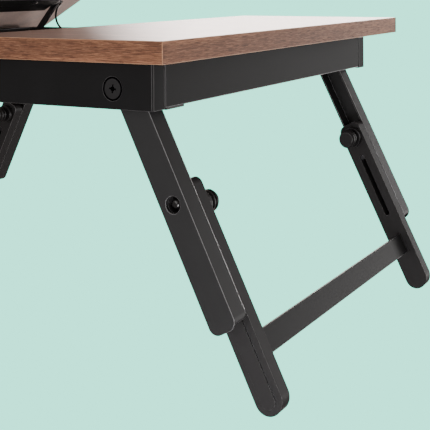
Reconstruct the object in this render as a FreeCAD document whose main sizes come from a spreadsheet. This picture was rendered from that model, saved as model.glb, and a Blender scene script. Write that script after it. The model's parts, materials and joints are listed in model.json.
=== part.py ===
"""Folding laptop table: tilting panel, fixed side board, drawer and telescopic folding legs.

Millimetres.  +X runs along the table top to the drawer end, +Y away from the user side,
+Z up.  The origin is on the floor under the centre of the table top.  The stored pose has
the legs splayed and extended, the drawer closed and the panel propped up.
"""
import FreeCAD
import Part
import Sketcher
import math
import os

V = FreeCAD.Vector

# ---------------------------------------------------------------- driving sizes
SIZES = {
    # table top
    "deck_len": 494.0,        # along X, panel flat
    "deck_dep": 320.0,        # along Y
    "board_thk": 15.0,
    "fixed_len": 184.0,       # fixed board along X
    "flap_gap": 1.5,          # between panel edge and fixed board, panel flat
    "edge_round": 0.8,
    # frame
    "over_x": 26.0,           # board overhang past the rail ends
    "over_y": 20.0,           # board overhang past the rails
    "rail_hgt": 34.0,
    "rail_wid": 10.0,
    "rail_wall": 1.5,
    "cap_thk": 1.6,
    "cross_wid": 30.0,
    "cross_hgt": 7.0,
    # legs
    "splay": 27.3,            # degrees from vertical
    "pivot_in": 61.0,         # pivot from the table end
    "pivot_drop": 35.0,       # pivot below the table surface
    "leg_wid": 22.0,
    "leg_gap": 0.5,           # rail face to channel web
    "chan_dep": 12.0,
    "chan_wall": 1.6,
    "upper_end": 179.0,       # pivot to the channel's lower end
    "upper_round": 7.0,
    "lower_top": 75.0,        # pivot to the lower leg's top, extended
    "lower_end": 242.0,       # pivot to the foot end, extended
    "foot_round": 10.8,
    "head_round": 6.0,
    "plate_thk": 8.5,
    "plate_gap": 0.5,         # channel mouth to plate
    "pad_wid": 11.4,          # raised rib on the plate's outer face
    "pad_hgt": 0.9,
    "slider_len": 86.0,
    "slide_gap": 0.3,         # slider to channel, each side
    "slot_wid": 4.8,
    "slot_at": 109.5,         # pivot to guide pin
    "travel": 57.0,
    "guide_dia": 4.2,
    "web_hole": 12.0,         # sight hole over the lock button
    "lock_at": 88.0,          # pivot to the lock button's axis
    "lock_clear": 0.15,       # button tip behind the web
    "button_dia": 7.6,
    "button_len": 8.25,
    "button_bore": 11.4,
    "plunger_dia": 5.6,
    "plunger_from": 6.0,      # web's outer face to the plunger's buried end
    "knob_drop": 6.0,         # near knobs sit this far below the button's axis
    "knob_dia": 14.0,
    "knob_neck": 10.0,
    "knob_len": 9.0,
    "bush_dia": 19.0,
    "bush_len": 4.0,
    "knob_pull": 4.0,
    "bar_at": 189.0,          # pivot to the cross bar's upper edge
    "bar_wid": 18.0,
    "bar_thk": 4.0,
    "bar_side": 1.5,          # cross bar's middle, across the leg
    "shank_dia": 8.0,
    "head_dia": 14.9,
    "head_hgt": 2.4,
    "head_sink": 0.1,         # head below the rail's outer face
    "head_port": 16.4,        # hole in the rail's outer wall round the head
    "sleeve_dia": 12.0,
    "nut_size": 13.0,
    "nut_thk": 5.0,
    "fit": 0.08,              # radial running clearance
    # drawer
    "front_thk": 12.0,
    "front_gap": 1.0,
    "near_gap": 0.4,          # drawer front to the near rail
    "slide_room": 8.0,        # tray side to the runner's outer face
    "tray_wall": 2.0,
    "tray_drop": 1.5,         # tray floor above the rail's lower edge
    "tray_hgt": 22.0,
    "knob_room": 3.2,         # runner to a folded leg's knob, pulled
    "runner_gap": 1.0,        # cross rail to the runner's end
    "runner_wall": 2.0,
    "pull_wid": 90.0,
    "pull_dep": 6.0,
    # panel hinge and prop
    "tilt": 29.0,             # degrees, stored pose
    "rest_gap": 0.3,          # panel underside above the rails, panel flat
    "barrel_dia": 6.0,
    "barrel_off": 3.5,        # barrel axis outside the left rail
    "barrel_low": 3.3,        # barrel axis below the panel underside
    "leaf_thk": 1.2,
    "hinge_wid": 60.0,
    "hinge_in": 35.0,         # hinge middle from the rail's inner face
    "hinge_pin": 3.0,
    "brace_at": 75.0,         # barrel axis to the stiffening bar, along the panel
    "brace_wid": 14.0,
    "brace_hgt": 7.0,
    "brace_in": 14.0,         # bar's end from the rail's inner face
    "prop_at": 70.0,          # barrel axis to the prop pivot
    "prop_len": 44.0,
    "prop_wid": 6.0,
    "prop_thk": 3.0,
    "prop_gap": 0.4,          # cheek to prop link
    "prop_pin": 3.2,
    "foot_pin": 4.0,
    "prop_low": 1.0,          # prop pivot below the barrel axis
    "cheek_thk": 3.0,
    "cheek_bevel": 3.5,
    "rack_len": 33.0,
    "rack_wid": 5.8,
    "rack_thk": 1.5,
    "rack_gap": 0.5,          # left rail to the racks
    "rack_drop": 8.2,         # rack's floor below the rail's top
    "spring_wire": 1.6,
    "spring_bow": 9.0,
    "spring_in": 61.0,        # spring foot from the left rail's outer face
    "stud_dia": 4.4,
    "stud_len": 5.0,
    "wire_gap": 0.75,         # wire's middle line to the pins at its ends
}


def derive(size):
    """Work out the places and sizes that follow from the driving ones.

    Args:
        size: driving sizes by name, in millimetres and degrees.
    Returns:
        A dictionary of the derived sizes.
    """
    beta = math.radians(size["splay"])
    half = size["leg_wid"] / 2.0
    out = {}
    out["pivot_z"] = (
        (half - size["foot_round"]) * math.sin(beta)
        + (size["lower_end"] - size["foot_round"]) * math.cos(beta)
        + size["foot_round"]
    )
    out["deck_z"] = out["pivot_z"] + size["pivot_drop"]
    out["seat_z"] = out["deck_z"] - size["board_thk"]
    out["rail_z"] = out["seat_z"] - size["rail_hgt"]
    out["rail_end"] = size["deck_len"] / 2.0 - size["over_x"]
    out["rail_out"] = size["deck_dep"] / 2.0 - size["over_y"]
    out["rail_in"] = out["rail_out"] - size["rail_wid"]
    out["pivot_x"] = size["deck_len"] / 2.0 - size["pivot_in"]
    out["web_y"] = out["rail_in"] - size["leg_gap"]
    out["split_x"] = size["deck_len"] / 2.0 - size["fixed_len"]
    out["plate_y"] = size["chan_dep"] + size["plate_gap"]
    out["inner_y"] = out["plate_y"] + size["plate_thk"]
    out["front_x"] = out["rail_end"] - size["front_thk"]
    out["tray_back"] = out["split_x"] + 8.0
    out["runner_x"] = out["split_x"] + size["cross_wid"] / 2.0 + size["runner_gap"]
    knob_end = out["inner_y"] + size["bush_len"] + 0.3 + size["knob_len"] + size["knob_pull"]
    out["runner_half"] = out["web_y"] - knob_end - size["knob_room"]
    out["tray_half"] = out["runner_half"] - size["slide_room"]
    out["tray_z"] = out["rail_z"] + size["tray_drop"]
    out["under_z"] = out["seat_z"] + size["rest_gap"]
    out["hinge_x"] = -out["rail_end"] - size["barrel_off"]
    out["hinge_z"] = out["under_z"] - size["barrel_low"]
    out["foot_z"] = out["seat_z"] - 3.0
    tilt = math.radians(size["tilt"])
    out["prop_x"] = (
        out["hinge_x"] + size["prop_at"] * math.cos(tilt) + size["prop_low"] * math.sin(tilt)
    )
    out["prop_z"] = (
        out["hinge_z"] + size["prop_at"] * math.sin(tilt) - size["prop_low"] * math.cos(tilt)
    )
    rise = out["prop_z"] - out["foot_z"]
    out["prop_lean"] = math.degrees(math.asin(rise / size["prop_len"]))
    out["hinge_half"] = out["rail_in"] - size["hinge_in"]
    out["brace_half"] = out["rail_in"] - size["brace_in"]
    out["prop_y"] = out["brace_half"] + size["cheek_thk"] + size["prop_gap"]
    out["rack_x"] = -out["rail_end"] + size["rail_wid"] + size["rack_gap"]
    out["stud_z"] = out["seat_z"] - 4.0
    out["spring_x"] = -out["rail_end"] + size["spring_in"]
    return out


DERIVED = derive(SIZES)
SIZE = dict(SIZES)
SIZE.update(DERIVED)

doc = FreeCAD.newDocument("LaptopStand")
sheet = doc.addObject("Spreadsheet::Sheet", "Sizes")
for row, (alias, value) in enumerate(SIZE.items(), start=1):
    sheet.set("A%d" % row, alias)
    sheet.set("B%d" % row, "%.6f" % value)
    sheet.setAlias("B%d" % row, alias)
doc.recompute()

PARTS = []


def bind(obj, values):
    """Bind properties of obj to sheet expressions.

    Args:
        obj: document object.
        values: property path to expression; words in sheet aliases are looked up.
    """
    for path, text in values.items():
        obj.setExpression(path, expand(text))


def expand(text):
    """Prefix every sheet alias in an expression with the sheet's name."""
    words = []
    word = ""
    for char in str(text) + " ":
        if char.isalnum() or char in "_.":
            word += char
            continue
        words.append("Sizes." + word if word in SIZE else word)
        words.append(char)
        word = ""
    return "".join(words).strip()


def evaluate(text):
    """Value of an expression of sheet aliases, as a float."""
    probe = sheet.evalExpression(expand(text))
    return float(getattr(probe, "Value", probe))


def place(obj, base=None, axis=None, angle="0"):
    """Place an object by bound expressions.

    Args:
        obj: document object.
        base: three expressions for the origin, or None to leave the placement.
        axis: rotation axis, or None.
        angle: expression for the rotation angle in degrees.
    Returns:
        The object.
    """
    if axis is not None:
        obj.Placement = FreeCAD.Placement(V(0, 0, 0), FreeCAD.Rotation(axis, 10.0))
        bind(obj, {"Placement.Rotation.Angle": "(%s) * 1 deg" % angle})
    if base is not None:
        bind(obj, dict(zip(("Placement.Base.x", "Placement.Base.y", "Placement.Base.z"), base)))
    return obj


def keep(obj, label, base=None, axis=None, angle="0", solids=1):
    """Place a finished sub-part and register it under its label, the node's name.

    Args:
        obj: document object with the sub-part's shape.
        label: node name.
        base: as for place.
        axis: as for place.
        angle: as for place.
        solids: how many separate solids it holds.
    Returns:
        The object.
    """
    place(obj, base, axis, angle)
    obj.Label = label
    PARTS.append((obj, solids))
    return obj


def gather(label, members):
    """Register identical small parts of one body as one node.

    Args:
        label: node name.
        members: placed objects, one solid each.
    Returns:
        The Part::Compound.
    """
    group = doc.addObject("Part::Compound", label + "_set")
    group.Links = members
    return keep(group, label, solids=len(members))


def box(name, size, corner):
    """Part::Box with bound size and corner (three expressions each)."""
    obj = doc.addObject("Part::Box", name)
    bind(obj, dict(zip(("Length", "Width", "Height"), size)))
    bind(obj, dict(zip(("Placement.Base.x", "Placement.Base.y", "Placement.Base.z"), corner)))
    return obj


def rod(name, dia, length, start, axis="Y"):
    """Part::Cylinder along +X, +Y or +Z from a bound start point."""
    obj = doc.addObject("Part::Cylinder", name)
    turn = {"X": FreeCAD.Rotation(V(0, 1, 0), 90), "Y": FreeCAD.Rotation(V(1, 0, 0), -90),
            "Z": FreeCAD.Rotation()}[axis]
    obj.Placement = FreeCAD.Placement(V(0, 0, 0), turn)
    bind(obj, {"Radius": "(%s) / 2" % dia, "Height": length})
    bind(obj, dict(zip(("Placement.Base.x", "Placement.Base.y", "Placement.Base.z"), start)))
    return obj


def cut(name, base, tools):
    """Base with every tool taken away, one Part::Cut after another."""
    for index, tool in enumerate(tools):
        step = doc.addObject("Part::Cut", "%s_cut%d" % (name, index))
        step.Base = base
        step.Tool = tool
        base = step
    return base


def fuse(name, shapes):
    """Part::MultiFuse of shapes with its seams refined away."""
    obj = doc.addObject("Part::MultiFuse", name)
    obj.Shapes = shapes
    obj.Refine = True
    return obj


# ---------------------------------------------------------------- sketch helpers
def new_body(name):
    """Empty PartDesign body."""
    return doc.addObject("PartDesign::Body", name)


def new_sketch(body, name, role, offset=("0", "0", "0")):
    """Sketch on one of the body's origin planes, moved by a bound offset.

    Args:
        body: owning body.
        name: object name.
        role: "XY_Plane", "XZ_Plane" or "YZ_Plane".
        offset: three expressions in the plane's own axes.
    Returns:
        The sketch.
    """
    sketch = body.newObject("Sketcher::SketchObject", name)
    plane = [item for item in body.Origin.OriginFeatures if item.Role == role][0]
    sketch.AttachmentSupport = [(plane, "")]
    sketch.MapMode = "FlatFace"
    for axis, text in zip("xyz", offset):
        if text != "0":
            bind(sketch, {"AttachmentOffset.Base." + axis: text})
    return sketch


def size_by(sketch, constraint, name, text):
    """Add a dimension, name it and bind it to an expression."""
    index = sketch.addConstraint(constraint)
    sketch.renameConstraint(index, name)
    bind(sketch, {"Constraints." + name: text})


def rectangle(sketch, wide, high):
    """Rectangle centred on the sketch origin."""
    a = evaluate(wide) / 2.0
    b = evaluate(high) / 2.0
    corners = [V(-a, -b, 0), V(a, -b, 0), V(a, b, 0), V(-a, b, 0)]
    first = sketch.GeometryCount
    for i in range(4):
        sketch.addGeometry(Part.LineSegment(corners[i], corners[(i + 1) % 4]), False)
    for i in range(4):
        sketch.addConstraint(
            Sketcher.Constraint("Coincident", first + i, 2, first + (i + 1) % 4, 1))
    for i in (0, 2):
        sketch.addConstraint(Sketcher.Constraint("Horizontal", first + i))
        sketch.addConstraint(Sketcher.Constraint("Vertical", first + i + 1))
    sketch.addConstraint(Sketcher.Constraint("Symmetric", first, 1, first + 2, 1, -1, 1))
    size_by(sketch, Sketcher.Constraint("DistanceX", first, 1, first, 2, 2 * a),
            "wide%d" % first, wide)
    size_by(sketch, Sketcher.Constraint("DistanceY", first + 1, 1, first + 1, 2, 2 * b),
            "high%d" % first, high)


def disc(sketch, dia, up="0"):
    """Circle on the sketch's vertical axis, its centre a bound distance above the origin."""
    radius = evaluate(dia) / 2.0
    rise = evaluate(up)
    item = sketch.addGeometry(Part.Circle(V(0, rise, 0), V(0, 0, 1), radius), False)
    if abs(rise) < 1e-9:
        sketch.addConstraint(Sketcher.Constraint("Coincident", item, 3, -1, 1))
    else:
        sketch.addConstraint(Sketcher.Constraint("PointOnObject", item, 3, -2))
        size_by(sketch, Sketcher.Constraint("DistanceY", -1, 1, item, 3, rise),
                "rise%d" % item, up)
    size_by(sketch, Sketcher.Constraint("Diameter", item, 2 * radius), "dia%d" % item, dia)


def slab(sketch, wide, high, round_top, round_low):
    """Upright rounded rectangle: top edge on the origin, hanging down by high.

    Args:
        sketch: target sketch.
        wide: full width expression.
        high: height expression.
        round_top: radius expression of both upper corners.
        round_low: radius expression of both lower corners.
    """
    a = evaluate(wide) / 2.0
    b = evaluate(high)
    p = evaluate(round_top)
    q = evaluate(round_low)
    pi = math.pi

    def arc(x, y, radius, start):
        circle = Part.Circle(V(x, y, 0), V(0, 0, 1), radius)
        return Part.ArcOfCircle(circle, start, start + pi / 2)

    first = sketch.GeometryCount
    sketch.addGeometry([
        Part.LineSegment(V(-a + p, 0, 0), V(a - p, 0, 0)),
        arc(a - p, -p, p, 0.0),
        Part.LineSegment(V(a, -p, 0), V(a, -b + q, 0)),
        arc(a - q, -b + q, q, 1.5 * pi),
        Part.LineSegment(V(a - q, -b, 0), V(-a + q, -b, 0)),
        arc(-a + q, -b + q, q, pi),
        Part.LineSegment(V(-a, -b + q, 0), V(-a, -p, 0)),
        arc(-a + p, -p, p, 0.5 * pi),
    ], False)
    # every arc runs counter-clockwise, so it starts where the next line clockwise begins
    for line, line_end, bow, bow_end in (
        (0, 2, 1, 2), (2, 1, 1, 1), (2, 2, 3, 2), (4, 1, 3, 1),
        (4, 2, 5, 2), (6, 1, 5, 1), (6, 2, 7, 2), (0, 1, 7, 1),
    ):
        sketch.addConstraint(Sketcher.Constraint(
            "Tangent", first + line, line_end, first + bow, bow_end))
    sketch.addConstraint(Sketcher.Constraint("Horizontal", first))
    sketch.addConstraint(Sketcher.Constraint("Symmetric", first, 1, first, 2, -1, 1))
    sketch.addConstraint(Sketcher.Constraint("Vertical", first + 2))
    sketch.addConstraint(Sketcher.Constraint("Vertical", first + 6))
    sketch.addConstraint(Sketcher.Constraint("Horizontal", first + 4))
    sketch.addConstraint(Sketcher.Constraint("Equal", first + 1, first + 7))
    sketch.addConstraint(Sketcher.Constraint("Equal", first + 3, first + 5))
    size_by(sketch, Sketcher.Constraint("Radius", first + 1, p), "top%d" % first, round_top)
    size_by(sketch, Sketcher.Constraint("Radius", first + 3, q), "low%d" % first, round_low)
    size_by(sketch, Sketcher.Constraint("DistanceX", first + 6, 1, first + 2, 2, 2 * a),
            "wide%d" % first, wide)
    size_by(sketch, Sketcher.Constraint("DistanceY", first + 4, 1, -1, 1, b),
            "high%d" % first, high)


def grow(body, name, sketch, length, reverse=False):
    """Pad a sketch by a bound length and check that the solid grew."""
    pad = body.newObject("PartDesign::Pad", name)
    pad.Profile = sketch
    pad.Reversed = reverse
    bind(pad, {"Length": length})
    sketch.Visibility = False
    doc.recompute()
    return pad


def hollow(body, name, sketch, length, reverse=False):
    """Pocket a sketch by a bound length and check that material was removed."""
    before = body.Shape.Volume
    pocket = body.newObject("PartDesign::Pocket", name)
    pocket.Profile = sketch
    pocket.Reversed = reverse
    bind(pocket, {"Length": length})
    doc.recompute()
    if not body.Shape.Volume < before - 1e-6:
        raise RuntimeError("pocket %s removes nothing" % name)
    return pocket


def bevel(body, name, width, choose):
    """Chamfer the edges of the body's tip that choose(edge) accepts."""
    tip = body.Tip
    picked = ["Edge%d" % (i + 1) for i, edge in enumerate(tip.Shape.Edges) if choose(edge)]
    chamfer = body.newObject("PartDesign::Chamfer", name)
    chamfer.Base = (tip, picked)
    bind(chamfer, {"Size": width})
    doc.recompute()
    return chamfer


def low_corner(level):
    """Chooser for edges along Y at one height."""
    def choose(edge):
        along = abs(edge.tangentAt(edge.FirstParameter).y) > 0.999
        return along and abs(edge.BoundBox.ZMin - level) < 1e-4
    return choose


def upright(edge):
    """True for a straight edge along Z."""
    return len(edge.Vertexes) == 2 and abs(edge.tangentAt(edge.FirstParameter).z) > 0.999


def at_height(level):
    """Chooser for edges that lie wholly at one height."""
    def choose(edge):
        box_ = edge.BoundBox
        return abs(box_.ZMin - level) < 1e-4 and abs(box_.ZMax - level) < 1e-4
    return choose


# ---------------------------------------------------------------- table top
def board(label, length, middle, low):
    """Board with softened corners.

    Args:
        label: body name.
        length: length along X, an expression.
        middle: X of its middle in its own frame, an expression.
        low: height of its underside in its own frame, an expression.
    Returns:
        The body.
    """
    body = new_body(label)
    outline = new_sketch(body, label + "_outline", "XY_Plane", (middle, "0", low))
    rectangle(outline, length, "deck_dep")
    grow(body, label + "_slab", outline, "board_thk")
    bevel(body, label + "_corners", "edge_round", upright)
    top = evaluate("board_thk + (%s)" % low)
    bevel(body, label + "_arris", "edge_round", at_height(top))
    return body


keep(board("fixed_board", "fixed_len", "deck_len / 2 - fixed_len / 2", "0"),
     "fixed_board", ("0", "0", "seat_z"))

# The panel group is drawn flat about the hinge barrel's axis and then propped up.
HINGE = ("hinge_x", "0", "hinge_z")
RAISE = V(0, -1, 0)
PANEL_FROM = "(-deck_len / 2 - hinge_x)"
PANEL_TO = "(split_x - flap_gap - hinge_x)"
keep(board("tilt_panel", "%s - %s" % (PANEL_TO, PANEL_FROM),
           "(%s + %s) / 2" % (PANEL_TO, PANEL_FROM), "barrel_low"),
     "tilt_panel", HINGE, RAISE, "tilt")


# ---------------------------------------------------------------- frame
def tube(label, length, middle_y, along_x=True):
    """Rectangular tube rail, open at both ends, its underside at z = 0.

    Args:
        label: body name.
        length: length expression.
        middle_y: sideways place of its middle in its own frame.
        along_x: run along X if true, otherwise along Y.
    Returns:
        The body.
    """
    body = new_body(label)
    plane = "YZ_Plane" if along_x else "XZ_Plane"
    outer = new_sketch(body, label + "_section", plane,
                       (middle_y, "rail_hgt / 2", "-(%s) / 2" % length))
    rectangle(outer, "rail_wid", "rail_hgt")
    grow(body, label + "_bar", outer, length)
    inner = new_sketch(body, label + "_bore", plane,
                       (middle_y, "rail_hgt / 2", "-(%s) / 2" % length))
    rectangle(inner, "rail_wid - 2 * rail_wall", "rail_hgt - 2 * rail_wall")
    hollow(body, label + "_hollow", inner, length, True)
    return body


for side, sign in (("near", "-"), ("far", "")):
    rail = tube("rail_" + side, "2 * (rail_end - cap_thk)", "%s(rail_in + rail_wid / 2)" % sign)
    for end, way in (("left", "-"), ("right", "")):
        port = new_sketch(rail, "rail_%s_port_%s" % (side, end), "XZ_Plane",
                          ("%spivot_x" % way, "pivot_z - rail_z", "-rail_out - 1"))
        disc(port, "shank_dia + 2 * fit")
        hollow(rail, "rail_%s_bore_%s" % (side, end), port, "2 * rail_out + 2", True)
        ring = new_sketch(rail, "rail_%s_ring_%s" % (side, end), "XZ_Plane",
                          ("%spivot_x" % way, "pivot_z - rail_z",
                           "rail_out" if sign else "-rail_out"))
        disc(ring, "head_port")
        hollow(rail, "rail_%s_head_port_%s" % (side, end), ring, "rail_wall", not sign)
    keep(rail, "rail_" + side, ("0", "0", "rail_z"))

left = tube("rail_left", "2 * rail_in", "0", False)
keep(left, "rail_left", ("-rail_end + rail_wid / 2", "0", "rail_z"))

for side, sign in (("near", -1), ("far", 1)):
    for end, way in (("left", -1), ("right", 1)):
        name = "cap_%s_%s" % (side, end)
        low_y = "rail_in" if sign > 0 else "-rail_out"
        face_x = "rail_end - cap_thk" if way > 0 else "-rail_end"
        plug_x = "rail_end - cap_thk - 8" if way > 0 else "-rail_end + cap_thk"
        plate = box(name + "_plate", ("cap_thk", "rail_wid", "rail_hgt"),
                    (face_x, low_y, "rail_z"))
        plug = box(name + "_plug",
                   ("8", "rail_wid - 2 * rail_wall - 0.2", "rail_hgt - 2 * rail_wall - 0.2"),
                   (plug_x, low_y + " + rail_wall + 0.1", "rail_z + rail_wall + 0.1"))
        keep(fuse(name + "_moulding", [plate, plug]), name)

keep(box("cross_rail_bar", ("cross_wid", "2 * rail_in", "cross_hgt"),
         ("split_x - cross_wid / 2", "-rail_in", "seat_z - cross_hgt")), "cross_rail")

screws = []
for side, sign in (("near", -1), ("far", 1)):
    for end, way in (("left", "-"), ("right", "")):
        name = "pivot_%s_%s" % (side, end)
        x = way + "pivot_x"
        sleeve_len = "rail_wid - rail_wall - head_sink"
        grip_len = "chan_wall + slide_gap + nut_thk"
        shank_len = "rail_out - head_sink - web_y + 1 + " + grip_len
        if sign < 0:
            head_y = "-rail_out + head_sink"
            sleeve_y = head_y
            shank_y = head_y
            nut_y = "-web_y + chan_wall + slide_gap"
        else:
            head_y = "rail_out - head_sink - head_hgt"
            sleeve_y = "rail_in + rail_wall"
            shank_y = "web_y - 1 - chan_wall - slide_gap - nut_thk"
            nut_y = "web_y - chan_wall - slide_gap - nut_thk"
        head = rod(name + "_head", "head_dia", "head_hgt", (x, head_y, "pivot_z"))
        sleeve = rod(name + "_sleeve", "sleeve_dia", sleeve_len, (x, sleeve_y, "pivot_z"))
        shank = rod(name + "_shank", "shank_dia", shank_len, (x, shank_y, "pivot_z"))
        nut = doc.addObject("Part::Prism", name + "_nut")
        nut.Polygon = 6
        nut.Placement = FreeCAD.Placement(V(0, 0, 0), FreeCAD.Rotation(V(1, 0, 0), -90))
        bind(nut, {"Circumradius": "nut_size / 2 / cos(30 deg)", "Height": "nut_thk",
                   "Placement.Base.x": x, "Placement.Base.y": nut_y,
                   "Placement.Base.z": "pivot_z"})
        screws.append(fuse(name + "_screw", [head, sleeve, shank, nut]))
gather("pivot_screws", screws)


# ---------------------------------------------------------------- legs
def upper_leg(label, near):
    """Inward-open channel that hangs from the pivot, drawn straight down.

    The web's outer face is at y = 0 and the channel opens towards +Y for the near side.
    """
    body = new_body(label)
    outline = new_sketch(body, label + "_outline", "XZ_Plane", ("0", "leg_wid / 2", "0"))
    slab(outline, "leg_wid", "upper_end + leg_wid / 2", "leg_wid / 2 - 0.01", "upper_round")
    grow(body, label + "_blank", outline, "chan_dep", near)
    trough = new_sketch(body, label + "_trough", "XZ_Plane",
                        ("0", "leg_wid / 2 - chan_wall", "-chan_wall" if near else "chan_wall"))
    slab(trough, "leg_wid - 2 * chan_wall", "upper_end + leg_wid / 2 + 10",
         "leg_wid / 2 - chan_wall - 0.01", "1")
    hollow(body, label + "_channel", trough, "chan_dep", not near)
    eye = new_sketch(body, label + "_eye", "XZ_Plane")
    disc(eye, "shank_dia + 2 * fit")
    hollow(body, label + "_pivot_hole", eye, "chan_wall", not near)
    port = new_sketch(body, label + "_port", "XZ_Plane", ("0", "-lock_at", "0"))
    disc(port, "web_hole")
    hollow(body, label + "_lock_hole", port, "chan_wall", not near)
    return body


def knob_at(near):
    """Distance from the pivot down to a knob's axis."""
    return "lock_at + knob_drop" if near else "lock_at"


def lower_leg(label, near):
    """Slotted plate with a slider that runs in the channel, drawn straight down."""
    away = "-" if near else ""
    body = new_body(label)
    outline = new_sketch(body, label + "_outline", "XZ_Plane",
                         ("0", "-lower_top", away + "plate_y"))
    slab(outline, "leg_wid", "lower_end - lower_top", "head_round", "foot_round")
    grow(body, label + "_plate", outline, "plate_thk", near)
    rib = new_sketch(body, label + "_rib_outline", "XZ_Plane",
                     ("0", "-lower_top - 4", away + "(plate_y - pad_hgt)"))
    slab(rib, "pad_wid", "lower_end - lower_top - 9", "2", "pad_wid / 2 - 0.6")
    grow(body, label + "_rib", rib, "pad_hgt + 0.5", near)
    shoe = new_sketch(body, label + "_shoe_outline", "XZ_Plane",
                      ("0", "-lower_top - 4 - slider_len / 2",
                       away + "(chan_wall + slide_gap)"))
    rectangle(shoe, "leg_wid - 2 * chan_wall - 2 * slide_gap", "slider_len")
    grow(body, label + "_shoe", shoe, "plate_y - chan_wall - slide_gap + 0.5", near)
    slot = new_sketch(body, label + "_slot_outline", "XZ_Plane",
                      ("0", "-slot_at + slot_wid / 2", away + "(inner_y + 1)"))
    slab(slot, "slot_wid", "travel + slot_wid", "slot_wid / 2 - 0.01", "slot_wid / 2 - 0.01")
    hollow(body, label + "_slot", slot, "inner_y + 1", near)
    well = new_sketch(body, label + "_button_well", "XZ_Plane",
                      ("0", "-lock_at", away + "chan_wall"))
    disc(well, "button_bore")
    hollow(body, label + "_button_bore", well,
           "lock_clear + button_len + knob_pull + 0.4", not near)
    barrel = new_sketch(body, label + "_barrel", "XZ_Plane",
                        ("0", "-(%s)" % knob_at(near), away + "inner_y"))
    disc(barrel, "plunger_dia + 0.4")
    hollow(body, label + "_plunger_bore", barrel, "inner_y - plunger_from + 0.4", near)
    return body


for end in ("right", "left"):
    swing = V(0, -1, 0) if end == "right" else V(0, 1, 0)
    root = ("pivot_x" if end == "right" else "-pivot_x", "0", "pivot_z")
    pins = []
    bushes = []
    for side in ("near", "far"):
        near = side == "near"
        tag = "%s_%s" % (end, side)
        web = (root[0], "-web_y" if near else "web_y", "pivot_z")
        keep(upper_leg("upper_leg_" + tag, near), "upper_leg_" + tag, web, swing, "splay")
        keep(lower_leg("lower_leg_" + tag, near), "lower_leg_" + tag, web, swing, "splay")

        # guide pin: riveted to the web, it runs in the lower leg's slot
        pin = new_body("guide_pin_" + tag)
        ring = new_sketch(pin, "guide_pin_ring_" + tag, "XZ_Plane",
                          ("0", "-slot_at", ("-" if near else "") + "chan_wall"))
        disc(ring, "guide_dia")
        grow(pin, "guide_pin_stem_" + tag, ring, "inner_y - chan_wall - 0.6", near)
        pins.append(place(pin, web, swing, "splay"))

        # bush screwed to the lower leg's inner face
        drop = "-(%s)" % knob_at(near)
        bush = new_body("bush_" + tag)
        seat = new_sketch(bush, "bush_seat_" + tag, "XZ_Plane",
                          ("0", drop, ("-" if near else "") + "inner_y"))
        disc(seat, "bush_dia")
        grow(bush, "bush_barrel_" + tag, seat, "bush_len", near)
        bore = new_sketch(bush, "bush_bore_" + tag, "XZ_Plane",
                          ("0", drop, ("-" if near else "") + "inner_y"))
        disc(bore, "plunger_dia + 0.4")
        hollow(bush, "bush_hole_" + tag, bore, "bush_len", not near)
        bushes.append(place(bush, web, swing, "splay"))

        # pull knob, plunger and lock button; on the near side the button is cranked upwards
        knob = new_body("knob_" + tag)
        stem = new_sketch(knob, "knob_stem_" + tag, "XZ_Plane",
                          ("0", drop, ("-" if near else "") + "plunger_from"))
        disc(stem, "plunger_dia")
        grow(knob, "knob_plunger_" + tag, stem, "inner_y + bush_len + 0.4 - plunger_from", near)
        tip = new_sketch(knob, "knob_tip_" + tag, "XZ_Plane",
                         ("0", "-lock_at", ("-" if near else "") + "(chan_wall + lock_clear)"))
        disc(tip, "button_dia")
        grow(knob, "knob_button_" + tag, tip, "button_len", near)
        neck = new_sketch(knob, "knob_neck_" + tag, "XZ_Plane",
                          ("0", drop, ("-" if near else "") + "(inner_y + bush_len + 0.3)"))
        disc(neck, "knob_neck")
        grow(knob, "knob_collar_" + tag, neck, "2.5", near)
        cap = new_sketch(knob, "knob_cap_" + tag, "XZ_Plane",
                         ("0", drop, ("-" if near else "") + "(inner_y + bush_len + 2.8)"))
        disc(cap, "knob_dia")
        grow(knob, "knob_grip_" + tag, cap, "knob_len - 2.5", near)
        keep(knob, "knob_" + tag, web, swing, "splay")

    gather("guide_pins_" + end, pins)
    gather("plunger_bushes_" + end, bushes)

    bar = new_body("cross_bar_" + end)
    strip = new_sketch(bar, "cross_bar_section_" + end, "XZ_Plane",
                       ("bar_side" if end == "right" else "-bar_side",
                        "-bar_at - bar_wid / 2", "-(web_y - inner_y)"))
    rectangle(strip, "bar_thk", "bar_wid")
    grow(bar, "cross_bar_strip_" + end, strip, "2 * (web_y - inner_y)")
    keep(bar, "cross_bar_" + end, root, swing, "splay")


# ---------------------------------------------------------------- drawer
front = box("drawer_front_slab",
            ("front_thk", "2 * rail_in - near_gap - front_gap", "rail_hgt - 2 * front_gap"),
            ("front_x", "-rail_in + near_gap", "rail_z + front_gap"))
grip = box("drawer_front_grip", ("front_thk / 2", "pull_wid", "pull_dep"),
           ("front_x + front_thk / 4", "-pull_wid / 2", "rail_z + front_gap - 0.5"))
keep(cut("drawer_front", front, [grip]), "drawer_front")

TRAY_LEN = "front_x - tray_back"
tray = new_body("drawer_tray")
base_plan = new_sketch(tray, "tray_plan", "XY_Plane", ("(front_x + tray_back) / 2", "0", "tray_z"))
rectangle(base_plan, TRAY_LEN, "2 * tray_half")
grow(tray, "tray_block", base_plan, "tray_hgt")
well_plan = new_sketch(tray, "tray_well_plan", "XY_Plane",
                       ("(front_x + tray_back) / 2", "0", "tray_z + tray_wall"))
rectangle(well_plan, "%s - 2 * tray_wall" % TRAY_LEN, "2 * (tray_half - tray_wall)")
hollow(tray, "tray_well", well_plan, "tray_hgt", True)
keep(tray, "drawer_tray")

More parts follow.
